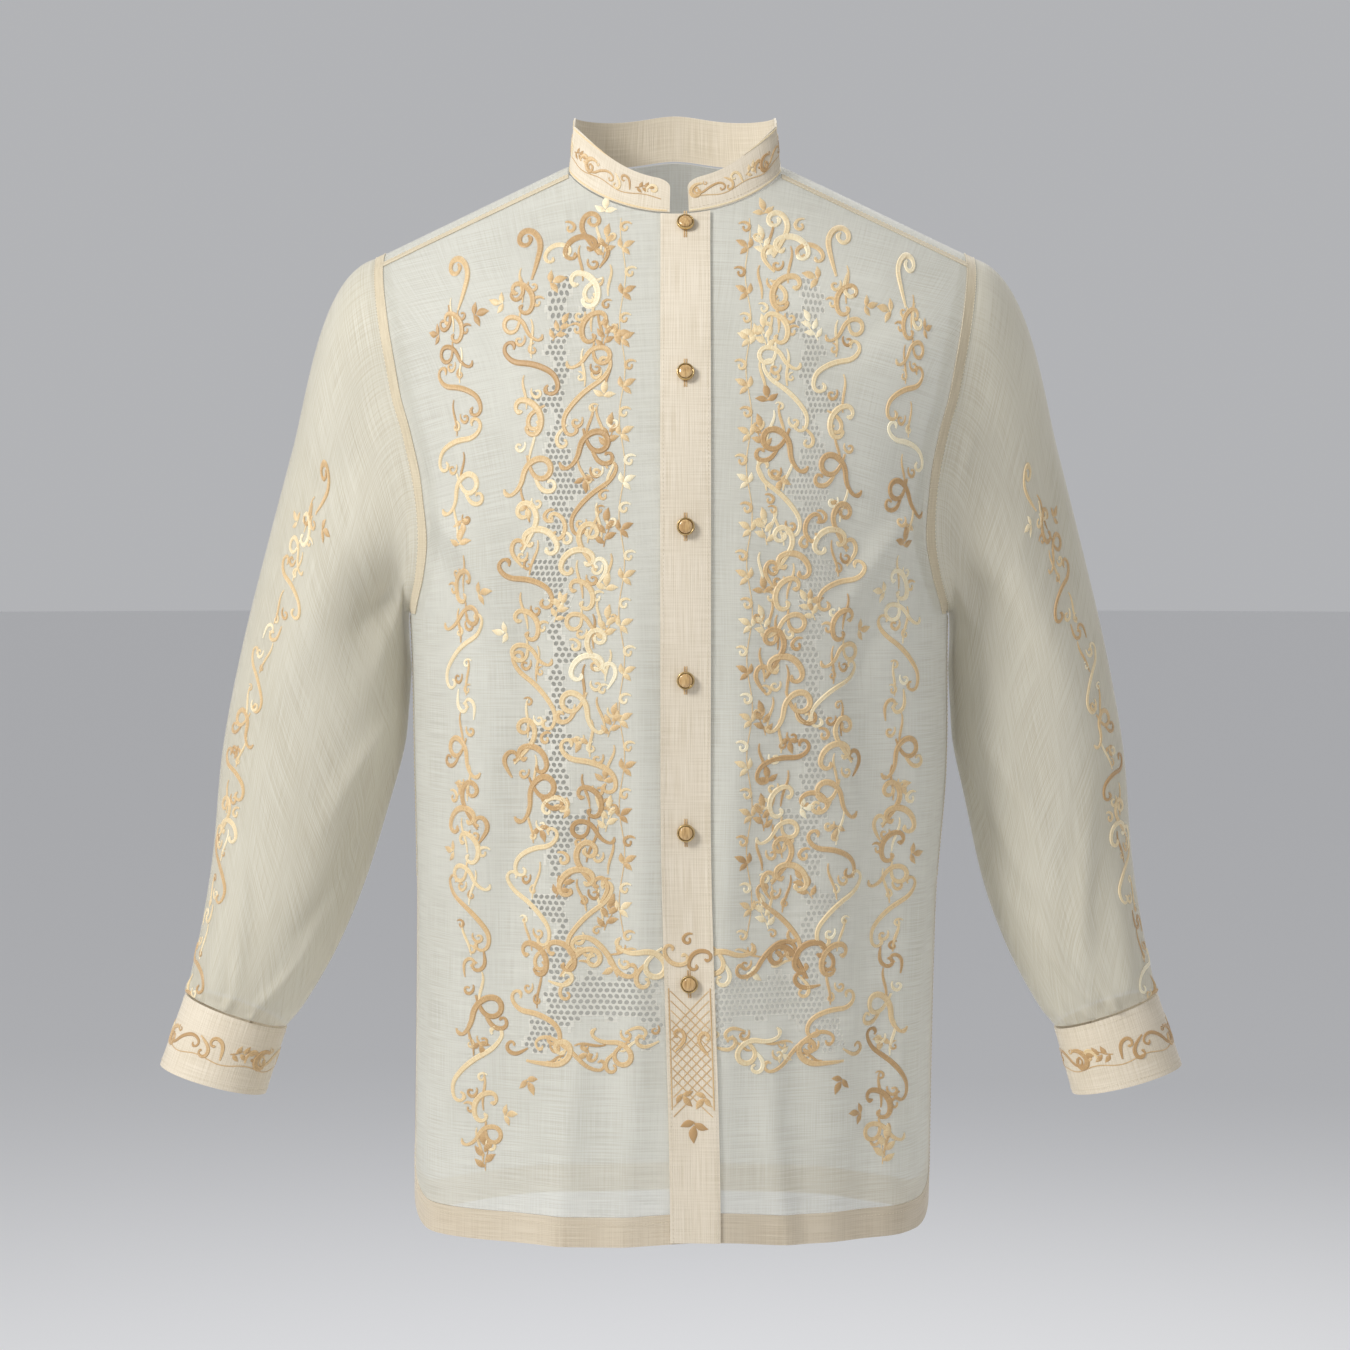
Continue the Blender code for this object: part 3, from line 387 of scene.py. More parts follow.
half_width = smooth_column(TORSO_SECTIONS, 1)
depth_in_front = smooth_column(TORSO_SECTIONS, 2)
depth_behind = smooth_column(TORSO_SECTIONS, 3)
sideways_shift = smooth_column(TORSO_SECTIONS, 4)
armhole_x = smooth_column(ARMHOLE, 1)

# Running length of a quarter section, to space columns evenly along the cloth
WAIST_HALF_WIDTH = 0.2
WAIST_DEPTH = 0.14
TURNS = np.linspace(0.0, math.pi / 2, 91)
QUARTER = np.stack([WAIST_HALF_WIDTH * np.sin(TURNS) ** (2 / SECTION_POWER),
                    WAIST_DEPTH * clamp(np.cos(TURNS)) ** (2 / SECTION_POWER)], 1)
ARCS = running_length(QUARTER)
ARCS /= ARCS[-1]


def turn_at(fraction):
    """The turn round a section at a fraction of the quarter cloth."""
    return np.sign(fraction) * np.interp(np.abs(fraction), ARCS, TURNS)


def fraction_at(across):
    """The fraction of the quarter cloth at a share of the half width."""
    turn = np.arcsin(clamp(np.abs(across)) ** (SECTION_POWER / 2))
    return np.sign(across) * np.interp(turn, TURNS, ARCS)


def shoulder_height(x):
    """The height of the shoulder line."""
    return SHOULDER_SLOPE * (math.hypot(NECK_HALF_WIDTH, NAPE_SOFTNESS) - np.hypot(x, NAPE_SOFTNESS))


def lines_of_creases(table, x, z):
    """The height of straight soft creases at a place; a crease swells in its middle and dies out."""
    total = np.zeros(np.broadcast(x, z).shape)
    for from_x, from_z, to_x, to_z, height, reach in table:
        length = math.hypot(to_x - from_x, to_z - from_z)
        way_x, way_z = (to_x - from_x) / length, (to_z - from_z) / length
        along = ((x - from_x) * way_x + (z - from_z) * way_z) / length
        aside = (x - from_x) * way_z - (z - from_z) * way_x
        aside = aside + reach * 0.5 * np.sin(along * 5.0 + from_x * 40.0)
        swell = np.sin(math.pi * clamp(along)) ** 0.8
        total = total + height * swell * np.exp(-((aside / reach) ** 2))
    return total


def torso(fraction, z, facing):
    """Points of the worn surface with its creases. facing is 1 in front of the shoulder line, else -1."""
    turn = turn_at(fraction)
    half = half_width(z)
    x = half * signed_power(np.sin(turn), 2 / SECTION_POWER)
    front = np.asarray(facing) > 0
    depth = np.where(front, depth_in_front(z), depth_behind(z))
    drop = clamp((shoulder_height(x) - z) / SHOULDER_ROUNDING)
    rounding = np.sqrt(clamp(1.0 - (1.0 - drop) ** 2))
    y = depth * clamp(np.cos(turn)) ** (2 / SECTION_POWER) * rounding
    broad = np.zeros(x.shape)
    for middle, height, reach, top in BACK_FOLDS:
        broad = broad + height * ease((top - z) / BACK_FOLD_FADE) * np.exp(-(((x - middle) / reach) ** 2))
    edge = np.where(z <= UNDERARM_Z, half, armhole_x(z))
    fade = ease((edge - np.abs(x)) / CREASE_EDGE_FADE) * drop
    creases = np.where(front, lines_of_creases(FRONT_CREASES, x, z), lines_of_creases(BACK_CREASES, x, z))
    creases = creases * fade * bpy.context.scene.barong.crease_strength
    y = y + np.where(front, 0.0, broad)
    out_x = signed_power(x / half, SECTION_POWER - 1) / half
    out_y = clamp(y / np.maximum(depth, 1e-6)) ** (SECTION_POWER - 1) / depth
    size = np.hypot(out_x, out_y) + 1e-9
    x = x + creases * out_x / size
    y = y + creases * out_y / size
    return np.stack([x + sideways_shift(z), np.where(front, -y, y), z + 0.0 * x], -1)


def edge_fraction(z):
    """The fraction of the cloth at a panel's outer edge."""
    return np.where(z <= UNDERARM_Z, 1.0, fraction_at(armhole_x(z) / half_width(z)))


def front_neck_height(x):
    """The height of the neck seam in front."""
    across = clamp(np.abs(x) / NECK_HALF_WIDTH)
    seam_drop = SHOULDER_ROUNDING * (1.0 - math.cos(SHOULDER_SEAM_TURN))
    dip = (1.0 - across * across) ** (FRONT_NECK_ROUNDNESS / 2)
    return -seam_drop - (FRONT_NECK_DROP - seam_drop) * dip


def back_neck_turn(x):
    """The turn over the shoulder at the neck seam behind."""
    across = clamp(np.abs(x) / NECK_HALF_WIDTH)
    return np.arcsin(clamp(BACK_NECK_DEPTH * np.sqrt(1.0 - across * across) / BACK_DEPTH_AT_NECK))


def back_neck_height(x):
    """The height of the neck seam behind."""
    return shoulder_height(x) - SHOULDER_ROUNDING * (1.0 - np.cos(back_neck_turn(x)))


def placket_x(z):
    """Where the button band's middle lies, drifting aside towards the hem."""
    return PLACKET_X + PLACKET_DRIFT * ease((PLACKET_DRIFT_START_Z - z) / (PLACKET_DRIFT_START_Z - HEM_Z))


def fraction_of_x(x, z):
    """The fraction of the cloth at a distance aside."""
    return fraction_at((x - sideways_shift(z)) / half_width(z))


def x_along_cloth(distance):
    """How far aside a point lies that is this far from the middle, measured along the cloth."""
    turn = turn_at(distance / QUARTER_GIRTH)
    return WAIST_HALF_WIDTH * signed_power(np.sin(turn), 2 / SECTION_POWER)


def cloth_distance(x):
    """How far along the cloth from the middle a point lies."""
    return QUARTER_GIRTH * fraction_at(x / WAIST_HALF_WIDTH)


def front_place(side):
    """Places on a front by mm from the band's middle and mm above the neck point."""
    def place(across, up):
        z = up * MM
        x = x_along_cloth(PLACKET_X * side + across * MM) * side
        return torso(fraction_of_x(x, z), z, 1)
    return place


# Meshes of cloth


def grid_normals(points, wrap=False):
    """Outward directions at the points of a grid whose rows run down and columns run round."""
    down = np.gradient(points, axis=0)
    if wrap:
        round_ = np.roll(points, -1, axis=1) - np.roll(points, 1, axis=1)
    else:
        round_ = np.gradient(points, axis=1)
    return unit(np.cross(down, round_))


def add_piece(name, points, faces, finishes, uv=None, sheen_shade=None, slots=None, period=0.0):
    """A mesh object at the origin. uv is in metres of cloth for each point; threads also get each point's
    painted sheen and shade, a place from painted highlight to painted shade.
    """
    mesh = bpy.data.meshes.new(name)
    mesh.from_pydata(np.asarray(points).reshape(-1, 3).tolist(), [], faces)
    for finish in finishes:
        mesh.materials.append(finish)
    if slots is not None:
        mesh.polygons.foreach_set("material_index", np.asarray(slots, np.int32))
    if uv is not None:
        layer = mesh.uv_layers.new(name="Cloth")
        corners = np.empty(len(mesh.loops), np.int32)
        mesh.loops.foreach_get("vertex_index", corners)
        places = np.asarray(uv, float).reshape(-1, 2)[corners]
        if period:
            totals = np.empty(len(mesh.polygons), np.int32)
            mesh.polygons.foreach_get("loop_total", totals)
            owner = np.repeat(np.arange(len(totals)), totals)
            highest = np.zeros(len(totals))
            np.maximum.at(highest, owner, places[:, 0])
            places[:, 0] += period * (highest[owner] - places[:, 0] > period / 2)
        layer.data.foreach_set("uv", places.ravel())
    if sheen_shade is not None:
        attribute = mesh.attributes.new("sheen_shade", "FLOAT", "POINT")
        attribute.data.foreach_set("value", np.asarray(sheen_shade, np.float32))
    mesh.shade_smooth()
    mesh.set_sharp_from_angle(angle=math.radians(50.0))
    mesh.validate()
    piece = bpy.data.objects.new(name, mesh)
    bpy.context.scene.collection.objects.link(piece)
    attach(piece, "root")
    return piece


def grid_faces(rows, columns, wrap, outer, inner):
    """The faces of a closed wall between two grids of points, numbered from outer and inner."""
    def number(i, j):
        return i * columns + j % columns

    steps = columns if wrap else columns - 1
    i, j = np.meshgrid(np.arange(rows - 1), np.arange(steps), indexing="ij")
    a, b, c, d = number(i, j), number(i + 1, j), number(i + 1, j + 1), number(i, j + 1)
    front = np.stack([a, b, c, d], -1).reshape(-1, 4) + outer
    back = np.stack([d, c, b, a], -1).reshape(-1, 4) + inner
    j = np.arange(steps)
    top, top_next = number(0, j), number(0, j + 1)
    low, low_next = number(rows - 1, j), number(rows - 1, j + 1)
    rims = [np.stack([top + outer, top_next + outer, top_next + inner, top + inner], -1),
            np.stack([low + inner, low_next + inner, low_next + outer, low + outer], -1)]
    if not wrap:
        i = np.arange(rows - 1)
        left, left_next = number(i, 0), number(i + 1, 0)
        right, right_next = number(i, columns - 1), number(i + 1, columns - 1)
        rims += [np.stack([left_next + outer, left + outer, left + inner, left_next + inner], -1),
                 np.stack([right + outer, right_next + outer, right_next + inner, right + inner], -1)]
    return front, back, np.concatenate(rims)


def add_shell(name, points, low, high, finish, uv, wrap=False, period=0.0):
    """A thin closed shell of cloth from low to high outside a grid of points."""
    rows, columns = points.shape[:2]
    normals = grid_normals(points, wrap)
    outer, inner = points + normals * high, points + normals * low
    front, back, rims = grid_faces(rows, columns, wrap, 0, rows * columns)
    faces = np.concatenate([front, back, rims]).tolist()
    both = np.concatenate([outer.reshape(-1, 3), inner.reshape(-1, 3)])
    return add_piece(name, both, faces, [finish], np.concatenate([uv, uv]).reshape(-1, 2), period=period)


# The hole of openwork in a pair of cells: directions of its points from each of the six edge points
HOLE_TURNS = np.radians([135, 165, 195, 225, 255, 285, 315, 345, 15, 45, 75, 105])
HOLE_SIZE = (0.76, 0.80)
HOLE_LEAN = 0.16


def add_openwork_shell(name, points, low, high, finishes, uv, open_cells):
    """A shell whose marked pairs of cells each have a hole, set like bricks from row to row."""
    rows, columns = points.shape[:2]
    normals = grid_normals(points)
    walls = [points + normals * high, points + normals * low]
    count = rows * columns
    front, back, rims = grid_faces(rows, columns, False, 0, count)
    taken = np.zeros((rows - 1, columns - 1), bool)
    pairs = []
    for i in range(rows - 1):
        for j in range(i % 2, columns - 2, 2):
            if open_cells[i, j] and open_cells[i, j + 1]:
                taken[i, j] = taken[i, j + 1] = True
                pairs.append((i, j))
    i, j = np.array(pairs).T
    keep = ~taken.ravel()
    near = open_cells.ravel()[keep].astype(int)
    corners = np.stack([i * columns + j, (i + 1) * columns + j, (i + 1) * columns + j + 1,
                        (i + 1) * columns + j + 2, i * columns + j + 2, i * columns + j + 1], -1)
    across = HOLE_SIZE[0] * np.cos(HOLE_TURNS)
    up = HOLE_SIZE[1] * np.sin(HOLE_TURNS)
    lean = np.where(i % 2 == 0, HOLE_LEAN, -HOLE_LEAN)[:, None]
    s = ((across + lean * up) * 0.5 + 0.5)[..., None]
    t = (0.5 - up * 0.5)[None, :, None]

    def inside(grid):
        flat = grid.reshape(count, -1)
        top = flat[corners[:, 0]][:, None] * (1 - s) + flat[corners[:, 4]][:, None] * s
        bottom = flat[corners[:, 1]][:, None] * (1 - s) + flat[corners[:, 3]][:, None] * s
        return top * (1 - t) + bottom * t

    holes = len(i)
    first_outer = 2 * count
    first_inner = first_outer + holes * 12
    ring = np.arange(12)
    base = np.arange(holes)[:, None] * 12
    quads, tris = [], []
    for start, offset, flip in ((first_outer, 0, False), (first_inner, count, True)):
        edge = corners + offset
        for k in range(6):
            onward = (k + 1) % 6
            own = [start + base[:, 0] + 2 * k, start + base[:, 0] + 2 * k + 1]
            quad = np.stack([edge[:, k], edge[:, onward], start + base[:, 0] + 2 * onward, own[1]], -1)
            tri = np.stack([edge[:, k], own[1], own[0]], -1)
            quads.append(quad[:, ::-1] if flip else quad)
            tris.append(tri[:, ::-1] if flip else tri)
    a, b = first_outer + base + ring, first_outer + base + (ring + 1) % 12
    c, d = first_inner + base + (ring + 1) % 12, first_inner + base + ring
    quads.append(np.stack([a, b, c, d], -1).reshape(-1, 4))
    lace = np.concatenate(quads)
    tris = np.concatenate(tris)
    all_points = np.concatenate([walls[0].reshape(-1, 3), walls[1].reshape(-1, 3),
                                 inside(walls[0]).reshape(-1, 3), inside(walls[1]).reshape(-1, 3)])
    holes_uv = inside(uv).reshape(-1, 2)
    all_uv = np.concatenate([uv.reshape(-1, 2), uv.reshape(-1, 2), holes_uv, holes_uv])
    faces = front[keep].tolist() + back[keep].tolist() + rims.tolist() + lace.tolist() + tris.tolist()
    slots = np.concatenate([near, near, np.zeros(len(rims), int), np.ones(len(lace) + len(tris), int)])
    used = np.zeros(len(all_points), bool)
    for block in (front[keep], back[keep], rims, lace, tris):
        used[block.ravel()] = True
    renumber = np.cumsum(used) - 1
    faces = [[int(renumber[v]) for v in face] for face in faces]
    return add_piece(name, all_points[used], faces, finishes, all_uv[used], slots=slots)


# Panels of the body

CELL = {1: 0.00225, -1: 0.00285}
ROW = {1: 0.00415, -1: 0.0052}
LEVEL_Z = -0.125
SHOULDER_ROWS = 26
OVER_ROWS = 24
OVER_END = math.radians(60.0)
CORNER_ROWS = 18
CORNER_TOP_Z = -0.700
SETTLING_ROUNDS = 24
SLIT_ROWS = 44


def start_fraction(side, z, facing):
    """The fraction of the cloth at which a panel starts by the middle."""
    if facing < 0:
        return 0.0 * z
    return side * fraction_of_x(placket_x(z) + UNDERLAP + side * SEAM_GAP / 2, z)


def column_fraction(side, share, z, facing):
    """The fraction of the cloth at a share across a panel."""
    start = start_fraction(side, z, facing)
    inset = np.where(z <= UNDERARM_Z, SEAM_GAP / 2 / QUARTER_GIRTH, 0.0)
    return start + share * (edge_fraction(z) - inset - start)


def column_x(side, share, z, facing):
    """How far aside a share across a panel lies."""
    turn = turn_at(column_fraction(side, share, z, facing))
    return np.abs(half_width(z) * signed_power(np.sin(turn), 2 / SECTION_POWER))


def height_at_turn(side, share, facing, over):
    """The height at a turn over the shoulder line."""
    z = np.full(np.broadcast(share, over).shape, SHOULDER_START_Z)
    for _ in range(SETTLING_ROUNDS):
        x = column_x(side, share, z, facing)
        z = shoulder_height(x) - SHOULDER_ROUNDING * (1.0 - np.cos(over))
    return z


def top_heights(side, share, facing):
    """The height and the turn over the shoulder line at which each column starts."""
    seam = SHOULDER_SEAM_TURN
    z = height_at_turn(side, share, facing, seam)
    x = column_x(side, share, z, facing)
    at_neck = x < NECK_HALF_WIDTH
    neck_z = np.full(share.shape, -FRONT_NECK_DROP if facing > 0 else 0.0)
    for _ in range(SETTLING_ROUNDS):
        neck_x = column_x(side, share, neck_z, facing)
        neck_z = front_neck_height(neck_x) if facing > 0 else back_neck_height(neck_x)
    if facing > 0:
        seam_z = height_at_turn(side, share, facing, seam + SHOULDER_SEAM_CLEARANCE)
        return np.where(at_neck, neck_z, seam_z), None
    turns = np.where(at_neck, back_neck_turn(neck_x), -seam)
    return np.where(at_neck, neck_z, z), turns


def corner_height(distance, hem_z):
    """The height of a panel's lower edge, rounded up to the slit, by distance from the side."""
    wide = clamp((CORNER_WIDTH - distance) / (CORNER_WIDTH - SLIT_FACING))
    low = 1.0 - np.sqrt(clamp(1.0 - wide * wide))
    return hem_z + HEM_BAND + (CORNER_HEIGHT - SLIT_NOTCH) * low


def centre_lift(share):
    """How far the hem rises at the middle in front."""
    reach = share * QUARTER_GIRTH / HEM_LIFT_REACH
    return HEM_LIFT_AT_CENTRE * np.exp(-reach * reach)


def panel(side, facing):
    """Rows of points of half the body, from the side to the middle, with their cloth places."""
    count = int(round(QUARTER_GIRTH / CELL[facing])) + 1
    share = np.linspace(1.0, 0.0, count)
    distance = (1.0 - share) * QUARTER_GIRTH
    hem_z = HEM_Z if facing > 0 else BACK_HEM_Z
    top, turns = top_heights(side, share, facing)
    heights, facings = [], []
    if facing < 0:
        for i in range(OVER_ROWS):
            over = turns + (OVER_END - turns) * i / OVER_ROWS
            heights.append(height_at_turn(side, share, facing, over))
            facings.append(np.where(over >= 0.0, facing, -facing))
        top = height_at_turn(side, share, facing, OVER_END)
    for i in range(SHOULDER_ROWS):
        t = (i / SHOULDER_ROWS) ** (1.3 if facing > 0 else 1.15)
        heights.append(top + (LEVEL_Z - top) * t)
        facings.append(np.full(count, facing))
    z = LEVEL_Z
    while z > CORNER_TOP_Z:
        heights.append(np.full(count, z))
        facings.append(np.full(count, facing))
        z -= ROW[facing]
    low = distance + SLIT_FACING * clamp(1.0 - distance / SLIT_SPREAD)
    lift = centre_lift(1.0 - low / QUARTER_GIRTH) if facing > 0 else 0.0
    bottom = corner_height(low, hem_z) + lift
    for i in range(CORNER_ROWS + 1):
        heights.append(z + (bottom - z) * i / CORNER_ROWS)
        facings.append(np.full(count, facing))
    heights = np.array(heights)
    squeeze = clamp((SLIT_TOP_Z - heights) / SLIT_NOTCH)
    moved = distance + SLIT_FACING * clamp(1.0 - distance / SLIT_SPREAD) * squeeze
    shares = 1.0 - moved / QUARTER_GIRTH
    fraction = column_fraction(side, shares, heights, facing)
    points = torso(side * fraction, heights, np.array(facings))
    down = np.concatenate([np.zeros((1, count)),
                           np.cumsum(np.linalg.norm(np.diff(points, axis=0), axis=2), axis=0)])
    down = down + (-heights[-1] - down[-1])
    uv = np.stack([side * fraction * QUARTER_GIRTH, down], -1)
    return points, uv


def openwork_areas():
    """The openwork of a front as (near, far, top, bottom): its ladder's bays, pockets and low band."""
    areas = list(LOW_OPENWORK)
    for number in range(OPENWORK_BAYS):
        top = OPENWORK_TOP - OPENWORK_BAY * number
        half = OPENWORK_WIDTHS[number % len(OPENWORK_WIDTHS)] / 2
        areas.append((OPENWORK_MIDDLE - half, OPENWORK_MIDDLE + half, top, top - OPENWORK_BAY))
        near = OPENWORK_MIDDLE + half if number % 2 else OPENWORK_MIDDLE - half - POCKET_SIZE
        areas.append((near, near + POCKET_SIZE, top - POCKET_DROP, top - POCKET_DROP - POCKET_SIZE))
    return areas


def in_openwork(points, side):
    """Which cells of a front lie in its openwork."""
    middle = (points[:-1, :-1] + points[1:, 1:]) / 2
    across = (cloth_distance(middle[..., 0] * side) - PLACKET_X * side) / MM
    up = middle[..., 2] / MM
    wave = EDGE_WAVE[0] * np.sin(up / EDGE_WAVE[1])
    ripple = EDGE_RIPPLE[0] * np.sin(up / EDGE_RIPPLE[1] + across / EDGE_RIPPLE_SLANT)
    level = LEVEL_WAVE[0] * np.sin(across / LEVEL_WAVE[1] + 1.0)
    across, up = across + wave + ripple, up + level
    found = np.zeros(across.shape, bool)
    for near, far, top, bottom in openwork_areas():
        found |= (across > near) & (across < far) & (up < top) & (up > bottom)
    return found


def band_grid(side, facing, across_steps=5):
    """A hem band's grid: from the slit's top down, round the corner and along to the middle."""
    hem_z = HEM_Z if facing > 0 else BACK_HEM_Z
    slit_bottom = hem_z + HEM_BAND + CORNER_HEIGHT - SLIT_NOTCH
    lines = []
    for z in np.linspace(SLIT_TOP_Z - SLIT_NOTCH - 2 * SEAM_GAP, slit_bottom - 2 * SEAM_GAP,
                         SLIT_ROWS)[:-1]:
        lines.append((SLIT_FACING - SEAM_GAP, z, SLIT_HALF_OPENING, z))
    for turn in np.linspace(0.0, math.pi / 2, 26):
        wide, low = math.cos(turn), 1.0 - math.sin(turn)
        lines.append((CORNER_WIDTH - (CORNER_WIDTH - SLIT_FACING + SEAM_GAP) * wide,
                      hem_z + HEM_BAND - SEAM_GAP + (CORNER_HEIGHT - SLIT_NOTCH) * low,
                      CORNER_WIDTH - (CORNER_WIDTH - SLIT_HALF_OPENING) * wide,
                      hem_z + CORNER_HEIGHT * low))
    for distance in np.linspace(CORNER_WIDTH, QUARTER_GIRTH, 68)[1:]:
        lines.append((distance, hem_z + HEM_BAND - SEAM_GAP, distance, hem_z))
    lines = np.array(lines)
    t = np.linspace(0.0, 1.0, across_steps)[:, None]
    distance = lines[:, 0] * (1 - t) + lines[:, 2] * t
    z = lines[:, 1] * (1 - t) + lines[:, 3] * t
    share = 1.0 - distance / QUARTER_GIRTH
    if facing > 0:
        z = z + centre_lift(share)
    fraction = column_fraction(side, share, z, facing)
    points = torso(side * fraction, z, facing)
    middle = points[across_steps // 2]
    along = running_length(middle)
    uv = np.stack([np.broadcast_to(along, distance.shape),
                   np.broadcast_to(t * HEM_BAND, distance.shape)], -1)
    return points, uv


def facing_out(grid, uv, side, facing):
    """Turns a half's grid round so that its columns run the way that faces outwards."""
    if side * facing > 0:
        return grid[:, ::-1], uv[:, ::-1]
    return grid, uv


def whole_back(maker):
    """Joins the grids of the two halves of the back at the middle."""
    left, left_uv = maker(1, -1)
    right, right_uv = maker(-1, -1)
    return (np.concatenate([left, right[:, -2::-1]], 1),
            np.concatenate([left_uv, mirrored(right_uv, left_uv)[:, -2::-1]], 1))


def mirrored(uv, other):
    """Turns a half's cloth places round to run on from the other half's."""
    if uv[0, -1, 0] > 0.05:
        flipped = uv.copy()
        flipped[..., 0] = 2 * other[0, -1, 0] - uv[..., 0]
        return flipped
    return uv


# Neck, collar, sleeves and cuffs


def neck_point(place):
    """Points of the neck seam. place runs from 0 in front by the wearer's left to 1 at the back."""
    size = np.abs(place)
    front = size < NECK_FRONT_SHARE
    side_strip = ~front & (size < NECK_SIDE_SHARE)
    x_front = NECK_HALF_WIDTH * np.sin(math.pi / 2 * size / NECK_FRONT_SHARE)
    x_back = NECK_HALF_WIDTH * np.cos(math.pi / 2 * (size - NECK_SIDE_SHARE) / (1.0 - NECK_SIDE_SHARE))
    x = np.where(front, x_front, np.where(side_strip, NECK_HALF_WIDTH, x_back))
    strip = (NECK_SIDE_SHARE - size) / (NECK_SIDE_SHARE - NECK_FRONT_SHARE)
    z_strip = -SHOULDER_ROUNDING * (1.0 - np.cos(SHOULDER_SEAM_TURN * strip))
    z = np.where(front, front_neck_height(x), np.where(side_strip, z_strip, back_neck_height(x)))
    facing = np.where(front | side_strip, 1, -1)
    return torso(fraction_at(np.sign(place) * x / half_width(z)), z, facing)


def collar_point(along, share):
    """Points of the collar by place round the neck and share of its height."""
    def at(place):
        return neck_point(np.where(place <= 1.0, place, place - 2.0))

    step = 0.01
    ahead = at(along + step) - at(along - step)
    outward = unit(np.stack([ahead[..., 1], -ahead[..., 0], 0.0 * ahead[..., 0]], -1))
    front = clamp(-outward[..., 1]) ** 2
    back = clamp(outward[..., 1]) ** 2
    lean = (COLLAR_LEANS["front"] * front + COLLAR_LEANS["back"] * back
            + COLLAR_LEANS["side"] * (1.0 - front - back))
    upward = unit(np.array([0.0, 0.0, 1.0]) - outward * lean[..., None])
    from_end = np.minimum(along - COLLAR_START, COLLAR_END - along)
    full = COLLAR_END_HEIGHT + (COLLAR_HEIGHT - COLLAR_END_HEIGHT) * ease(from_end / COLLAR_FULL_AFTER)
    short = clamp(1.0 - from_end * NECK_RING_HALF / COLLAR_CORNER)
    full = full - COLLAR_CORNER * COLLAR_CORNER_FALL * (1.0 - np.sqrt(clamp(1.0 - short * short)))
    return at(along) + upward * (COLLAR_LIFT + full * share)[..., None]


def collar_places():
    """Places round the collar, closer together at its rounded ends."""
    ends = 0.05 * (np.linspace(0.0, 1.0, 10) ** 1.8)
    middle = np.linspace(COLLAR_START + 0.05, COLLAR_END - 0.05, 170)
    return np.concatenate([COLLAR_START + ends[:-1], middle, COLLAR_END - ends[-2::-1]])


def section_points(sections, side, place, angle):
    """Points of a sleeve or cuff at places along its sections: 0 is outside, 90 in front."""
    table = np.array(sections)
    last = len(table) - 1
    place = clamp(place, 0.0, last)
    at = np.minimum(place.astype(int), last - 1)
    t = (place - at)[..., None]
    here, there = table[at], table[at + 1]
    before, after = table[np.maximum(at - 1, 0)], table[np.minimum(at + 2, last)]
    first = np.where(at > 0, 0.5, 1.0)[..., None]
    second = np.where(at + 2 < len(table), 0.5, 1.0)[..., None]
    row = hermite(here, (there - before) * first, there, (after - here) * second, t)
    outer_x, outer_z, inner_x, inner_z, half_depth, centre_y = np.moveaxis(row, -1, 0)
    swing = SLEEVE_SWING[side] * clamp((SWING_START_Z - outer_z) / SWING_LENGTH)
    outer = np.stack([side * (outer_x + swing), centre_y, outer_z], -1)
    inner = np.stack([side * (inner_x + swing) + sideways_shift(inner_z), centre_y, inner_z], -1)
    turn = np.radians(angle)
    points = (outer + inner) / 2 + (outer - inner) / 2 * np.cos(turn)[..., None]
    points[..., 1] -= half_depth * np.sin(turn)
    return points


def armhole_line(side, facing, inside=0.0, count=200):
    """Half the armhole seam, from the shoulder line to the underarm, or a line inside it."""
    ridge = height_at_turn(side, np.array([1.0]), facing, 0.0)[0]
    z = ridge + (UNDERARM_Z - ridge) * np.linspace(0.0, 1.0, count) ** 1.8
    if not inside:
        return torso(side * edge_fraction(z), z, facing)
    x = armhole_x(z)
    fallen = shoulder_height(x) - z
    level = ease((fallen - SHOULDER_ROUNDING * 0.8) / SHOULDER_ROUNDING)
    z = (shoulder_height(x - inside) - fallen) * (1.0 - level) + z * level
    return torso(side * fraction_at((x - inside) / half_width(z)), z, facing)


def armhole_curve(side, facing):
    """Half the armhole seam and the ways off the panel along it."""
    points = armhole_line(side, facing)
    along = unit(np.gradient(points, axis=0))
    off = points - armhole_line(side, facing, ARMHOLE_INSIDE)
    return points, unit(off - along * (off * along).sum(-1, keepdims=True))


SLEEVE_CAP_ROWS = 56
SLEEVE_LOWER_ROWS = 112
SLEEVE_COLUMNS = 152
SLEEVE_GIRTH = 0.42
ARMHOLE_SMOOTHINGS = 6


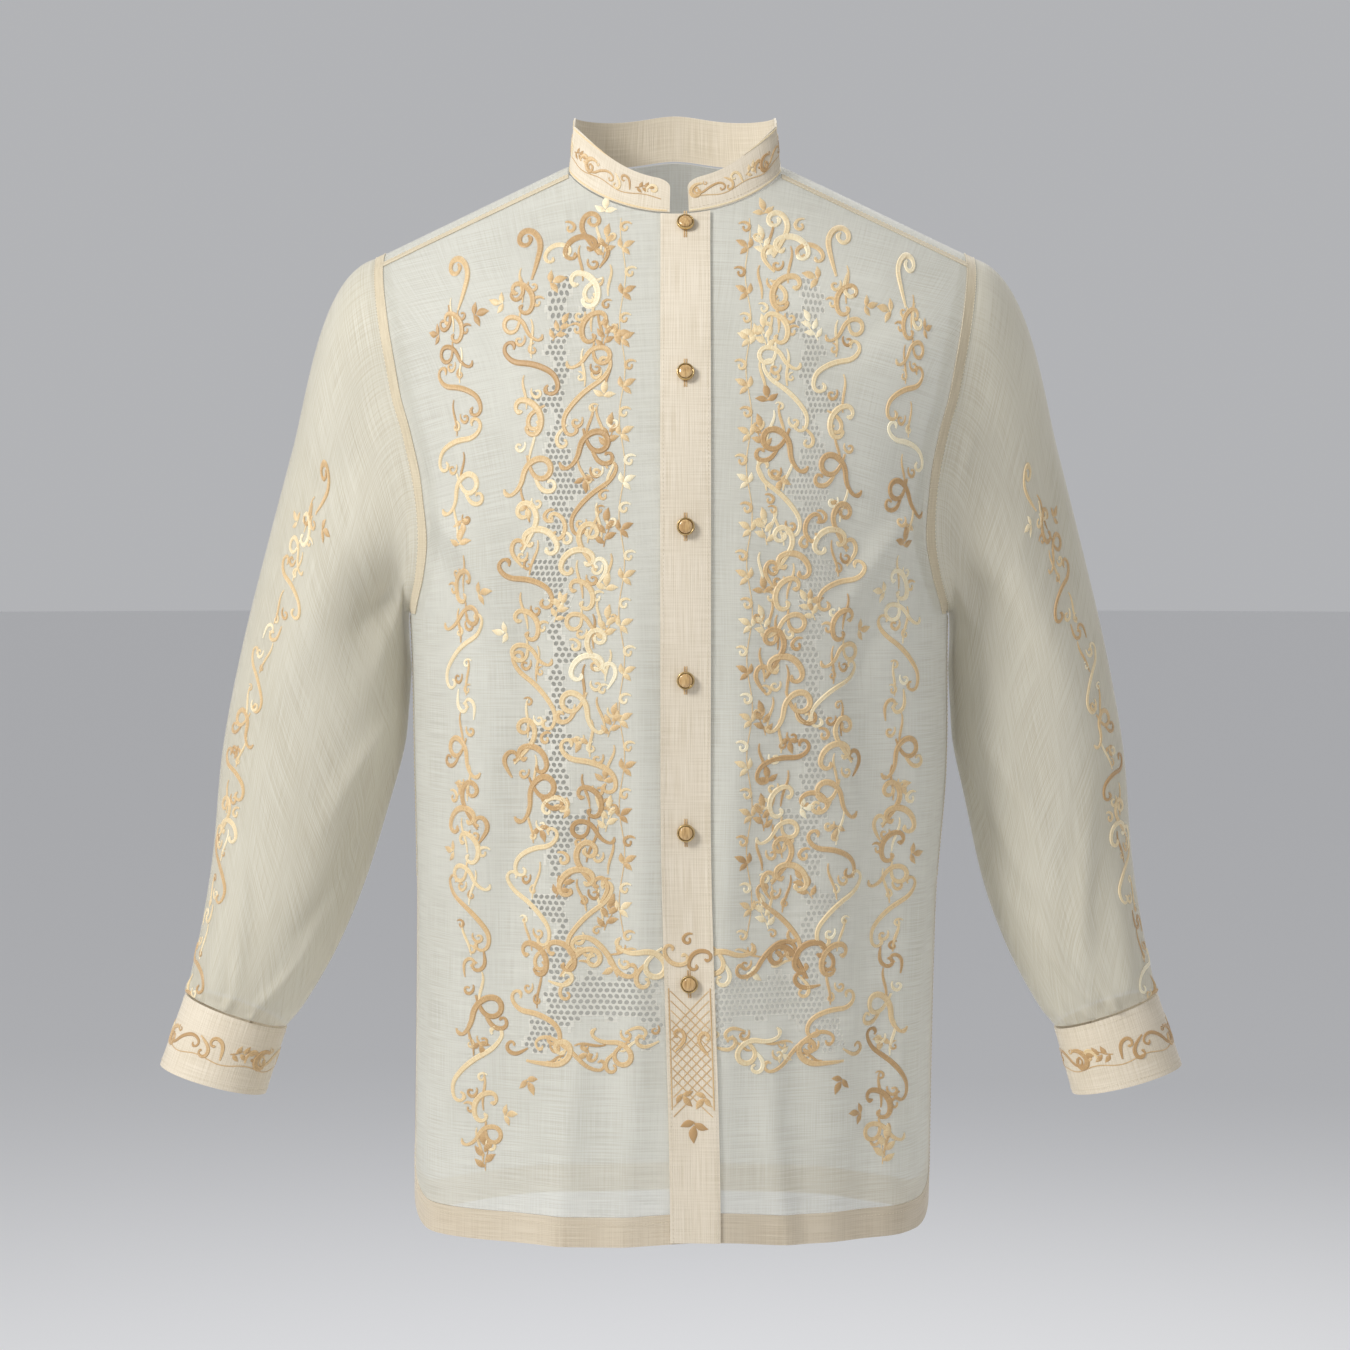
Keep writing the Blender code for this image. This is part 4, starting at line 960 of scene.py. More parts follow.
def sleeve_grid(side):
    """The sleeve's grid, from the armhole to the cuff; its columns run round from 0 degrees."""
    angles = np.arange(SLEEVE_COLUMNS) * 360.0 / SLEEVE_COLUMNS
    start = np.empty((SLEEVE_COLUMNS, 3))
    off = np.empty((SLEEVE_COLUMNS, 3))
    for facing in (1, -1):
        points, ways = armhole_curve(side, facing)
        length = running_length(points)
        turned = 180.0 * length / length[-1]
        chosen = angles <= 180.0 if facing > 0 else angles > 180.0
        wanted = angles[chosen] if facing > 0 else 360.0 - angles[chosen]
        for axis in range(3):
            start[chosen, axis] = np.interp(wanted, turned, points[:, axis])
            off[chosen, axis] = np.interp(wanted, turned, ways[:, axis])
    for _ in range(ARMHOLE_SMOOTHINGS):
        off = unit(off + 0.5 * (np.roll(off, 1, axis=0) + np.roll(off, -1, axis=0)))
    start = start + off * SEAM_GAP
    end = section_points(SLEEVE_SECTIONS, side, np.zeros(SLEEVE_COLUMNS), angles)
    onward = unit(section_points(SLEEVE_SECTIONS, side, np.ones(SLEEVE_COLUMNS), angles) - end)
    reach = np.linalg.norm(end - start, axis=1, keepdims=True)
    leave = unit(off + np.array([side * CAP_OUTWARD, 0.0, 0.0])) * reach * CAP_LEAVE
    arrive = onward * reach * CAP_ARRIVE
    rows, alongs = [], []
    for i in range(SLEEVE_CAP_ROWS):
        share = i / SLEEVE_CAP_ROWS
        rows.append(hermite(start, leave, end, arrive, share))
        alongs.append(CAP_SHARE * share)
    for i in range(SLEEVE_LOWER_ROWS + 1):
        share = i / SLEEVE_LOWER_ROWS
        place = np.full(SLEEVE_COLUMNS, share * (len(SLEEVE_SECTIONS) - 1))
        rows.append(section_points(SLEEVE_SECTIONS, side, place, angles))
        alongs.append(CAP_SHARE + (1.0 - CAP_SHARE) * share)
    grid, along = np.array(rows), np.array(alongs)[:, None]
    push = folds_round(SLEEVE_FOLDS, along, angles, 0.7)
    strength = bpy.context.scene.barong.crease_strength
    push = push + strength * folds_round(SLEEVE_CREASES[side], along, angles, 1.0)
    push = push * ease((1.0 - along) / SLEEVE_FOLD_FADE)
    for around, height, spread, length in SLEEVE_GATHERS:
        off_angle = (angles - around + 180.0) % 360.0 - 180.0
        swell = ease((along - 1.0 + length) / (length * 0.7)) * ease((1.003 - along) / 0.012)
        push = push + strength * height * swell * np.exp(-((off_angle / spread) ** 2))
    middle = grid.mean(axis=1, keepdims=True)
    return grid + unit(grid - middle) * push[..., None]


def folds_round(table, along, angles, roundness):
    """The height of the folds of a table on a sleeve."""
    total = np.zeros(np.broadcast(along, angles).shape)
    for start, start_angle, end, end_angle, height, reach in table:
        share = (along - start) / (end - start)
        middle = start_angle + (end_angle - start_angle) * share
        off = (angles - middle + 180.0) % 360.0 - 180.0
        swell = np.where((share > 0.0) & (share < 1.0), np.sin(math.pi * clamp(share)) ** roundness, 0.0)
        total = total + height * swell * np.exp(-((off / reach) ** 2))
    return total


def cuff_grid(side):
    """The cuff's grid: a band wound once round, its upper end lapping over its lower end."""
    steps = np.linspace(0.0, CUFF_TURNS, CUFF_COLUMNS)
    rows = []
    for place in np.linspace(0.0, len(CUFF_SECTIONS) - 1.0, CUFF_ROWS):
        places = np.full(len(steps), place)
        points = section_points(CUFF_SECTIONS, side, places, CUFF_TURN * (CUFF_OPENING_TURN + steps))
        middle = (section_points(CUFF_SECTIONS, side, places[:1], np.zeros(1))
                  + section_points(CUFF_SECTIONS, side, places[:1], np.full(1, 180.0))) / 2
        rise = CUFF_OVERLAP_RISE * ease((steps - 20.0) / 4.0)
        rows.append(points + unit(points - middle) * rise[:, None])
    return np.array(rows)


def on_grid(grid, wrap=False):
    """Places on a grid of points by row and column numbers, with fractions."""
    rows, columns = grid.shape[:2]

    def read(i, j):
        i = clamp(i, 0.0, rows - 1.0001)
        j = j % columns if wrap else clamp(j, 0.0, columns - 1.0001)
        low, left = i.astype(int), j.astype(int)
        right = (left + 1) % columns if wrap else left + 1
        a, b = (i - low)[..., None], (j - left)[..., None]
        return ((grid[low, left] * (1 - b) + grid[low, right] * b) * (1 - a)
                + (grid[low + 1, left] * (1 - b) + grid[low + 1, right] * b) * a)

    return read


def band_place(grid, wrap=False):
    """Places on a band by mm along it and mm up from its lower edge."""
    middle = grid[grid.shape[0] // 2]
    along = running_length(middle) / MM
    height = np.linalg.norm(np.diff(grid, axis=0), axis=2).sum(0) / MM
    read = on_grid(grid, wrap)

    def place(across, up):
        column = np.interp(across, along, np.arange(len(along)))
        tall = np.interp(column, np.arange(len(height)), height)
        return read((1.0 - up / tall) * (grid.shape[0] - 1), column)

    return place, along[-1]


def sleeve_place(grid):
    """Places on a sleeve by mm aside of the vine's line and mm up from its top."""
    rows = len(grid)
    read = on_grid(grid, True)
    lower = np.arange(rows)
    along = np.where(lower < SLEEVE_CAP_ROWS, CAP_SHARE * lower / SLEEVE_CAP_ROWS,
                     CAP_SHARE + (1 - CAP_SHARE) * (lower - SLEEVE_CAP_ROWS) / SLEEVE_LOWER_ROWS)
    moved_on = ease((along - SLEEVE_VINE_TOP_ALONG) / SLEEVE_VINE_TURN_REACH)
    line = SLEEVE_VINE_TURN - SLEEVE_VINE_TURNS_BY * moved_on
    line_column = line / 360.0 * SLEEVE_COLUMNS
    path = read(lower.astype(float), line_column)
    down = running_length(path) / MM
    down = down - np.interp(SLEEVE_VINE_TOP_ALONG, along, down)
    girth = np.linalg.norm(np.roll(grid, -1, axis=1) - grid, axis=2).sum(1) / MM

    def place(across, up):
        row = np.interp(-up, down, lower)
        column = np.interp(row, lower, line_column)
        per_mm = SLEEVE_COLUMNS / np.interp(row, lower, girth)
        return read(row, column - across * per_mm)

    return place


# Threads

RIBBON_ACROSS = np.array([-1.0, -0.6, 0.0, 0.6, 1.0])
RIBBON_HEIGHT = np.array([0.0, 0.92, 0.62, 0.92, 0.0])
# A ribbon's rise in mm, whatever its width, and for each mm of width
RIBBON_LEAST_RISE = 0.14
RIBBON_RISE_BY_WIDTH = 0.17
# How far thread starts above the middle of sheer cloth, and above the face of firm cloth
SHEER_CLEARANCE = 0.00035
FIRM_CLEARANCE = 0.0001


class Threads:
    """Gathers ribbons of thread laid on cloth, and makes one mesh of them."""

    def __init__(self, place, handed, lift=SHEER_CLEARANCE, seed=7):
        self.place = place
        self.handed = handed
        self.lift = lift
        self.draw = np.random.default_rng(seed)
        self.points, self.faces, self.uv, self.sheen_shade = [], [], [], []
        self.count = 0

    def ribbon(self, line, widths, height=1.0, sheen_shade=None):
        """A crowned ribbon along a line in mm, with its two satin halves."""
        line = np.asarray(line, float)
        way = unit(np.gradient(line, axis=0))
        aside = np.stack([-way[:, 1], way[:, 0]], 1)
        flat = line[:, None, :] + aside[:, None, :] * (RIBBON_ACROSS * widths[:, None] / 2)[..., None]
        across, up = flat[..., 0], flat[..., 1]
        small = 0.4
        base = self.place(across, up)
        normal = unit(np.cross(self.place(across, up - small) - self.place(across, up + small),
                               self.place(across + small, up) - self.place(across - small, up)))
        normal = normal * self.handed
        crown = RIBBON_LEAST_RISE + RIBBON_RISE_BY_WIDTH * widths[:, None]
        rise = crown * RIBBON_HEIGHT * height * MM + self.lift
        points = base + normal * rise[..., None]
        n = len(line)
        start = self.count
        i = np.arange(n - 1)[:, None]
        k = np.arange(5)
        a, b = start + i * 5 + k, start + i * 5 + (k + 1) % 5
        c, d = start + (i + 1) * 5 + (k + 1) % 5, start + (i + 1) * 5 + k
        sides = np.stack([a, d, c, b], -1).reshape(-1, 4)
        ends = [np.arange(5) + start, np.arange(5)[::-1] + start + (n - 1) * 5]
        for face in [*sides, *ends]:
            self.faces.append([int(corner) for corner in face[:: self.handed]])
        self.points.append(points.reshape(-1, 3))
        along = running_length(line) * MM
        places = np.stack([np.broadcast_to(RIBBON_ACROSS * 0.5 + 0.5, (n, 5)),
                           np.broadcast_to(along[:, None], (n, 5))], -1)
        self.uv.append(places.reshape(-1, 2))
        # Each stroke's painted sheen and shade: a random place on the thread ramp from painted highlight
        # to painted shade, drifting a little along the stroke
        shade = self.draw.uniform(0.15, 0.95) if sheen_shade is None else sheen_shade
        sheen_drift = np.linspace(-0.12, 0.12, n) * self.draw.choice((-1.0, 1.0))
        self.sheen_shade.append(np.repeat(shade + sheen_drift, 5))
        self.count += n * 5

    def leaf(self, foot, turn, length, sheen_shade=None):
        t = np.linspace(0.0, 1.0, 8)
        way = np.array([math.sin(turn), math.cos(turn)])
        bend = 0.06 * length * np.sin(math.pi * t)
        line = foot + t[:, None] * length * way + bend[:, None] * np.array([way[1], -way[0]])
        widths = 0.5 * length * np.sin(math.pi * clamp(t, 0.04, 0.97) ** 0.85)
        self.ribbon(line, widths, 0.75, sheen_shade)

    def motif(self, name, across, up, turn, scale, flip, width=1.0, height=1.0):
        """Draws a motif about a place, with a little unevenness of hand."""
        turn = turn + self.draw.uniform(-4.0, 4.0)
        scale = scale * self.draw.uniform(0.96, 1.04) * MOTIF_SCALE
        # Painted sheen and shade shared by the motif, shifted a little for each figure
        shade = self.draw.uniform(0.2, 0.9)
        for figure, x, y, own_turn, own_scale, own_flip in MOTIFS[name]:
            sheen_shade = float(np.clip(shade + self.draw.uniform(-0.25, 0.25), 0.05, 1.0))
            inner = (x, y, own_turn, own_scale, own_flip)
            outer = (across, up, turn, scale, flip)

            def put(points, inner=inner, outer=outer):
                return moved(moved(points, *inner), *outer)

            if figure in LEAVES:
                if figure == "spray":
                    line, _, thin = drawn("twig")
                    self.ribbon(put(line - line[0]), np.full(len(line), thin * width), height, sheen_shade)
                for at, hand, lean, length in LEAVES[figure]:
                    lean = math.radians(lean) * hand
                    foot = np.array([0.0, at])
                    length = length * LEAF_FULLNESS
                    tip = foot + length * np.array([math.sin(lean), math.cos(lean)])
                    ends = put(np.array([foot, tip]))
                    span = ends[1] - ends[0]
                    self.leaf(ends[0], math.atan2(span[0], span[1]), float(np.hypot(*span)), sheen_shade)
            else:
                line, t, thick = drawn(figure)
                sizes = thread_widths(t, thick * scale * own_scale, figure in BOTH_ENDS_CURLED)
                self.ribbon(put(line), sizes * width, height, sheen_shade)

    def finish(self, name, material, slot="thread"):
        piece = add_piece(name, np.concatenate(self.points), self.faces, [material],
                          np.concatenate(self.uv), np.concatenate(self.sheen_shade))
        return piece


def moved(points, x, y, turn, scale, flip):
    """Points flipped, sized, turned and then moved."""
    turn = math.radians(turn)
    points = points * scale * np.array([flip, 1.0])
    spin = np.array([[math.cos(turn), math.sin(turn)], [-math.sin(turn), math.cos(turn)]])
    return points @ spin + np.array([x, y])


def drawn(figure):
    """A figure's line, its running share and its thread width, centred on its own middle."""
    heading, width, parts = FIGURES[figure]
    steps, turns = [], []
    for length, turn in parts:
        count = max(3, math.ceil(max(length / 2.0, abs(turn) / 20.0)))
        steps += [length / count] * count
        turns += [turn / count] * count
    turns = np.array(turns)
    for _ in range(2):
        turns = np.convolve(np.pad(turns, 1, mode="edge"), (0.25, 0.5, 0.25), mode="valid")
    steps = np.array(steps)
    headings = np.radians(heading + np.concatenate([[0.0], np.cumsum(turns)]))
    middle = (headings[1:] + headings[:-1]) / 2
    line = np.zeros((len(steps) + 1, 2))
    line[1:, 0] = np.cumsum(steps * np.cos(middle))
    line[1:, 1] = np.cumsum(steps * np.sin(middle))
    line -= (line.max(0) + line.min(0)) / 2
    return line, np.concatenate([[0.0], np.cumsum(steps)]) / steps.sum(), width


def thread_widths(t, width, both_curled):
    """A stroke's widths: full in its middle, with a ball at its curls."""
    body = 0.30 + 0.70 * np.sin(math.pi * clamp(t, 0.03, 0.97)) ** 0.7
    ball = 0.80 * np.exp(-(((t - 0.95) / 0.045) ** 2))
    if both_curled:
        ball = np.maximum(ball, 0.80 * np.exp(-(((t - 0.05) / 0.045) ** 2)))
    return THREAD_FULLNESS * width * np.maximum(body, ball)


class Stitches:
    """Gathers small raised stitches along lines on cloth, and makes one mesh of them."""

    def __init__(self):
        self.points, self.faces = [], []

    def row(self, line, normals, pitch=0.0030, length=0.0020, radius=0.00022):
        """Stitches along a line of points in space, lying on the side that normals point to."""
        along = running_length(line)
        places = np.arange(pitch / 2, along[-1] - length, pitch)
        for i in range(len(places)):
            ends = np.array([[np.interp(s, along, line[:, k]) for k in range(3)]
                             for s in (places[i], places[i] + length)])
            out = unit(np.array([np.interp(places[i], along, normals[:, k]) for k in range(3)]))
            way = unit(ends[1] - ends[0])
            aside = np.cross(way, out) * radius
            middle = ends.mean(0) + out * radius
            start = len(self.points)
            self.points += [ends[0], ends[1], middle + aside, middle + out * radius * 1.4,
                            middle - aside, middle - out * radius]
            for a, b in ((2, 3), (3, 4), (4, 5), (5, 2)):
                self.faces += [[start, start + a, start + b], [start + 1, start + b, start + a]]

    def finish(self, name, material):
        piece = add_piece(name, np.array(self.points), self.faces, [material])
        return piece


# Finishes


class Finish:
    """A procedural material: one Principled surface whose colour and bump are built up in turn."""

    def __init__(self, name, colour, roughness, values=()):
        self.material = bpy.data.materials.new(name)
        self.material.use_nodes = True
        self.tree = self.material.node_tree
        self.surface = self.tree.nodes["Principled BSDF"]
        self.surface.inputs["Base Color"].default_value = (*colour, 1.0)
        self.surface.inputs["Roughness"].default_value = roughness
        for socket, value in dict(values).items():
            self.surface.inputs[socket].default_value = value

    def node(self, kind, inputs=(), **settings):
        made = self.tree.nodes.new(kind)
        for name, value in settings.items():
            setattr(made, name, value)
        for name, value in dict(inputs).items():
            if isinstance(value, bpy.types.NodeSocket):
                self.tree.links.new(value, made.inputs[name])
            else:
                made.inputs[name].default_value = value
        return made

    def coordinates(self, kind, scale):
        place = self.node("ShaderNodeTexCoord").outputs[kind]
        return self.node("ShaderNodeMapping", {"Vector": place, "Scale": scale}).outputs["Vector"]

    def noise(self, vector, detail=0.0, dimensions="2D"):
        inputs = {"Vector": vector, "Scale": 1.0, "Detail": detail}
        return self.node("ShaderNodeTexNoise", inputs, noise_dimensions=dimensions).outputs["Fac"]

    def maths(self, operation, first, second):
        return self.node("ShaderNodeMath", {0: first, 1: second}, operation=operation).outputs[0]

    def ramp(self, value, stops):
        made = self.node("ShaderNodeValToRGB", {"Fac": value})
        while len(made.color_ramp.elements) < len(stops):
            made.color_ramp.elements.new(0.5)
        for element, (position, colour) in zip(made.color_ramp.elements, stops):
            element.position = position
            element.color = (*colour, 1.0)
        return made.outputs["Color"]

    def colour(self, socket):
        self.tree.links.new(socket, self.surface.inputs["Base Color"])

    def bump(self, height, distance, strength=1.0):
        inputs = {"Height": height, "Distance": distance, "Strength": strength}
        made = self.node("ShaderNodeBump", inputs)
        self.tree.links.new(made.outputs["Normal"], self.surface.inputs["Normal"])


def woven(name, light, dark, alpha, slub=(28.0, 1500.0), roughness=0.62, sheen=0.25, depth=0.00012):
    """A plain woven cloth with slubs, from its own cloth coordinates in metres."""
    values = {"Alpha": alpha, "Sheen Weight": sheen, "Sheen Roughness": 0.4, "Specular IOR Level": 0.25}
    finish = Finish(name, light, roughness, values)
    across = finish.noise(finish.coordinates("UV", (slub[0], slub[1], 1.0)))
    upward = finish.noise(finish.coordinates("UV", (slub[1], slub[0], 1.0)))
    weft, warp = finish.maths("MULTIPLY", across, 0.6), finish.maths("MULTIPLY", upward, 0.4)
    patches = finish.noise(finish.coordinates("UV", (14.0, 9.0, 1.0)), detail=1.0)
    threads = finish.maths("MULTIPLY", finish.maths("ADD", weft, warp), 0.75)
    share = finish.maths("ADD", threads, finish.maths("MULTIPLY", patches, 0.25))
    finish.colour(finish.ramp(share, ((0.30, dark), (0.62, light))))
    finish.bump(across, depth)
    return finish.material


# Thread colours: the thread's own gold in the middle, painted highlight (cream) at one end and painted
# shade (brown) at the other
THREAD_HIGHLIGHT_TO_SHADE = (
    (0.00, (0.88, 0.80, 0.58)), (0.35, (0.76, 0.60, 0.35)), (0.65, (0.64, 0.44, 0.22)),
    (1.00, (0.46, 0.28, 0.12)),
)


def satin_thread(name, highlight_to_shade=THREAD_HIGHLIGHT_TO_SHADE, tint=0.0):
    """Satin stitch: its colour is each stroke's painted sheen and shade, a place on a ramp from painted
    highlight to painted shade, and fine threads lie across it.
    """
    finish = Finish(name, highlight_to_shade[1][1], 0.42, {"Sheen Weight": 0.3, "Specular IOR Level": 0.45})
    sheen_shade = finish.node("ShaderNodeAttribute", attribute_name="sheen_shade").outputs["Fac"]
    threads = finish.noise(finish.coordinates("UV", (0.9, 2600.0, 1.0)), detail=1.0)
    uneven = finish.maths("MULTIPLY", finish.maths("SUBTRACT", threads, 0.5), 0.55)
    finish.colour(finish.ramp(finish.maths("ADD", finish.maths("ADD", sheen_shade, tint), uneven), highlight_to_shade))
    finish.bump(threads, 0.00018)
    return finish.material


# Woven cloths: name, light colour, dark colour and how much of the light one wall stops
CLOTHS = {
    "sheer": ("Sheer cloth", (0.80, 0.79, 0.71), (0.66, 0.645, 0.56), 0.44),
    "sleeve": ("Sheer sleeve cloth", (0.79, 0.755, 0.64), (0.63, 0.585, 0.46), 0.50),
    "seam": ("Folded sheer cloth", (0.72, 0.63, 0.46), (0.58, 0.49, 0.34), 0.85),
    "band": ("Firm cloth", (0.73, 0.65, 0.525), (0.61, 0.53, 0.40), 1.0),
    "hem": ("Hem cloth", (0.70, 0.61, 0.47), (0.58, 0.49, 0.36), 0.86),
    "openwork": ("Openwork", (0.74, 0.72, 0.64), (0.62, 0.60, 0.52), 0.78),
}


def make_finishes():
    """All finishes of the shirt and of the floor, by name."""
    made = {finish: woven(*cloth) for finish, cloth in CLOTHS.items()}
    made["thread"] = satin_thread("Thread")
    made["tan"] = satin_thread("Tan thread", tint=0.25)
    made["stitch"] = Finish("Stitching", (0.74, 0.67, 0.52), 0.55, {"Sheen Weight": 0.2}).material
    brass = Finish("Brass", (0.66, 0.47, 0.20), 0.28, {"Metallic": 1.0})
    worn = brass.noise(brass.coordinates("Object", (260.0, 260.0, 260.0)), 3.0, "3D")
    brass.colour(brass.ramp(worn, ((0.3, (0.52, 0.36, 0.15)), (0.7, (0.78, 0.58, 0.28)))))
    made["brass"] = brass.material
    amber = Finish("Amber wood", (0.50, 0.31, 0.12), 0.24, {"Coat Weight": 0.6, "Coat Roughness": 0.08})
    grain = amber.noise(amber.coordinates("Object", (900.0, 900.0, 120.0)), 4.0, "3D")
    amber.colour(amber.ramp(grain, ((0.3, (0.34, 0.19, 0.07)), (0.55, (0.56, 0.36, 0.15)),
                                    (0.8, (0.70, 0.50, 0.25)))))
    made["amber"] = amber.material
    shell = Finish("Shirt button", (0.80, 0.76, 0.68), 0.25, {"Coat Weight": 0.3})
    cloud = shell.noise(shell.coordinates("Object", (180.0, 180.0, 180.0)), 3.0, "3D")
    shell.colour(shell.ramp(cloud, ((0.3, (0.66, 0.61, 0.52)), (0.7, (0.86, 0.83, 0.76)))))
    made["shell"] = shell.material
    made["floor"] = Finish("Pale floor", (0.86, 0.86, 0.865), 0.9).material
    return made


FINISHES = {}


# Settings


class BarongSettings(bpy.types.PropertyGroup):
    crease_strength: bpy.props.FloatProperty(
        name="Crease strength", description="How deep the small creases of the cloth are",
        default=1.7, min=0.0, max=3.0)
    sheer_thickness: bpy.props.FloatProperty(
        name="Sheer cloth", description="Thickness of the sheer cloth",
        default=0.0006, min=0.0002, max=0.0012, subtype="DISTANCE", unit="LENGTH")
    firm_thickness: bpy.props.FloatProperty(
        name="Firm cloth", description="Thickness of the collar, cuffs, hems and button band",
        default=0.0012, min=0.0004, max=0.0016, subtype="DISTANCE", unit="LENGTH")
    button_segments: bpy.props.IntProperty(
        name="Button segments", description="How many sides a button has",
        default=40, min=12, max=64)
    seed: bpy.props.IntProperty(
        name="Hand seed", description="Seed for the small unevenness of the needlework",
        default=7, min=0)


class BarongOperator(bpy.types.Operator):
    """The common part of the operators that build a piece."""

    bl_options = {"REGISTER", "UNDO"}

    @property
    def settings(self):
        return bpy.context.scene.barong


def declare(piece, node):
    """Hides the solid of the node that a piece stands for."""
    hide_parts(node)
    return piece


class BARONG_OT_fronts(BarongOperator):
    """Build the two sheer fronts with their openwork"""

    bl_idname = "barong.fronts"
    bl_label = "Fronts"

    def execute(self, context):
        half = self.settings.sheer_thickness / 2
        for label, side, area in (("left", 1, 0.171), ("right", -1, 0.200)):
            points, uv = facing_out(*panel(side, 1), side, 1)
            finishes = [FINISHES["sheer"], FINISHES["openwork"]]
            piece = add_openwork_shell(f"cloth_front_{label}", points, -half, half, finishes, uv,
                                       in_openwork(points, side))
            declare(piece, f"front_{label}")
        return {"FINISHED"}


class BARONG_OT_back(BarongOperator):
    """Build the sheer back, which turns over the shoulders to the front"""

    bl_idname = "barong.back"
    bl_label = "Back"

    def execute(self, context):
        half = self.settings.sheer_thickness / 2
        points, uv = whole_back(panel)
        piece = add_shell("cloth_back", points, -half, half, FINISHES["sheer"], uv)
        declare(piece, "back")
        return {"FINISHED"}


class BARONG_OT_hems(BarongOperator):
    """Build the hem bands, which also face the side slits"""

    bl_idname = "barong.hems"
    bl_label = "Hem bands"

    def execute(self, context):
        half = self.settings.firm_thickness / 2
        for label, side, area in (("left", 1, 0.0067), ("right", -1, 0.0083)):
            points, uv = facing_out(*band_grid(side, 1), side, 1)
            piece = add_shell(f"band_hem_front_{label}", points, -half, half, FINISHES["hem"], uv)
            declare(piece, f"hem_front_{label}")
        points, uv = whole_back(band_grid)
        piece = add_shell("band_hem_back", points, -half, half, FINISHES["hem"], uv)
        declare(piece, "hem_back")
        return {"FINISHED"}


def placket_grid():
    """The button band's grid, from its top down, with its cloth places."""
    across = np.linspace(-1.0, 1.0, 19)
    heights = np.linspace(0.0, 1.0, 260)[:, None]
    start = placket_x(np.array(-FRONT_NECK_DROP)) + across * PLACKET_WIDTH / 2
    top = front_neck_height(start) - PLACKET_TOP_GAP
    z = top + (HEM_Z + HEM_LIFT_AT_CENTRE - top) * heights
    x = placket_x(z) + across * PLACKET_WIDTH / 2
    points = torso(fraction_of_x(x, z), z, 1)
    uv = np.stack([z, np.broadcast_to(across * PLACKET_WIDTH / 2, z.shape)], -1)
    return points, uv


def placket_place(across, up):
    """Places on the button band by mm from its middle and mm above the neck point."""
    z = up * MM
    return torso(fraction_of_x(placket_x(z) + across * MM, z), z, 1)


class BARONG_OT_placket(BarongOperator):
    """Build the firm button band down the front"""

    bl_idname = "barong.placket"
    bl_label = "Button band"

    def execute(self, context):
        points, uv = placket_grid()
        low = PLACKET_LIFT
        piece = add_shell("band_placket", points, low, low + self.settings.firm_thickness,
                          FINISHES["band"], uv)
        declare(piece, "placket")
        return {"FINISHED"}


class BARONG_OT_collar(BarongOperator):
    """Build the stand collar"""

    bl_idname = "barong.collar"
    bl_label = "Collar"

    def execute(self, context):
        half = self.settings.firm_thickness / 2
        points, uv = collar_grid()
        piece = add_shell("band_collar", points, -half, half, FINISHES["band"], uv)
        declare(piece, "collar")
        return {"FINISHED"}


COLLAR_ROWS = 9


def collar_grid():
    """The collar's grid, from its upper edge down, with its cloth places."""
    places = collar_places()
    share = np.linspace(1.0, 0.0, COLLAR_ROWS)[:, None]
    shape = (COLLAR_ROWS, len(places))
    points = collar_point(np.broadcast_to(places, shape), np.broadcast_to(share, shape))
    along = running_length(points[COLLAR_ROWS // 2])
    uv = np.stack([np.broadcast_to(share * COLLAR_HEIGHT, points.shape[:2]),
                   np.broadcast_to(along, points.shape[:2])], -1)
    return points, uv


class BARONG_OT_sleeves(BarongOperator):
    """Build the two sheer sleeves with their folds and gathers"""

    bl_idname = "barong.sleeves"
    bl_label = "Sleeves"

    def execute(self, context):
        half = self.settings.sheer_thickness / 2
        for label, side in SIDES:
            grid = sleeve_grid(side)
            down = np.concatenate([np.zeros((1, SLEEVE_COLUMNS)),
                                   np.cumsum(np.linalg.norm(np.diff(grid, axis=0), axis=2), axis=0)])
            round_ = np.arange(SLEEVE_COLUMNS) / SLEEVE_COLUMNS * SLEEVE_GIRTH
            uv = np.stack([np.broadcast_to(round_, down.shape), down], -1)
            if side > 0:
                grid = grid[:, ::-1]
            piece = add_shell(f"cloth_sleeve_{label}", grid, -half, half, FINISHES["sleeve"], uv,
                              wrap=True, period=SLEEVE_GIRTH)
            declare(piece, f"sleeve_{label}")
        return {"FINISHED"}


class BARONG_OT_cuffs(BarongOperator):
    """Build the two buttoned cuffs"""

    bl_idname = "barong.cuffs"
    bl_label = "Cuffs"

    def execute(self, context):
        half = self.settings.firm_thickness / 2
        for label, side in SIDES:
            grid = cuff_grid(side)
            along = running_length(grid[CUFF_ROWS // 2])
            height = np.linspace(CUFF_HEIGHT, 0.0, len(grid))[:, None]
            uv = np.stack([np.broadcast_to(height, grid.shape[:2]),
                           np.broadcast_to(along, grid.shape[:2])], -1)
            if side > 0:
                grid, uv = grid[:, ::-1], uv[:, ::-1]
            piece = add_shell(f"band_cuff_{label}", grid, -half, half, FINISHES["band"], uv)
            declare(piece, f"cuff_{label}")
        return {"FINISHED"}


# A folded seam's width, its two faces above the cloth's middle, and the size of its cells
SEAM_STRIP = 0.0065
SEAM_LOW = 0.00035
SEAM_HIGH = 0.00085
SEAM_CELL = 0.003
SEAM_ROWS = 60
SHOULDER_SEAM_END_X = 0.2195
SHOULDER_SEAM_TURNS = (25.0, 29.5)


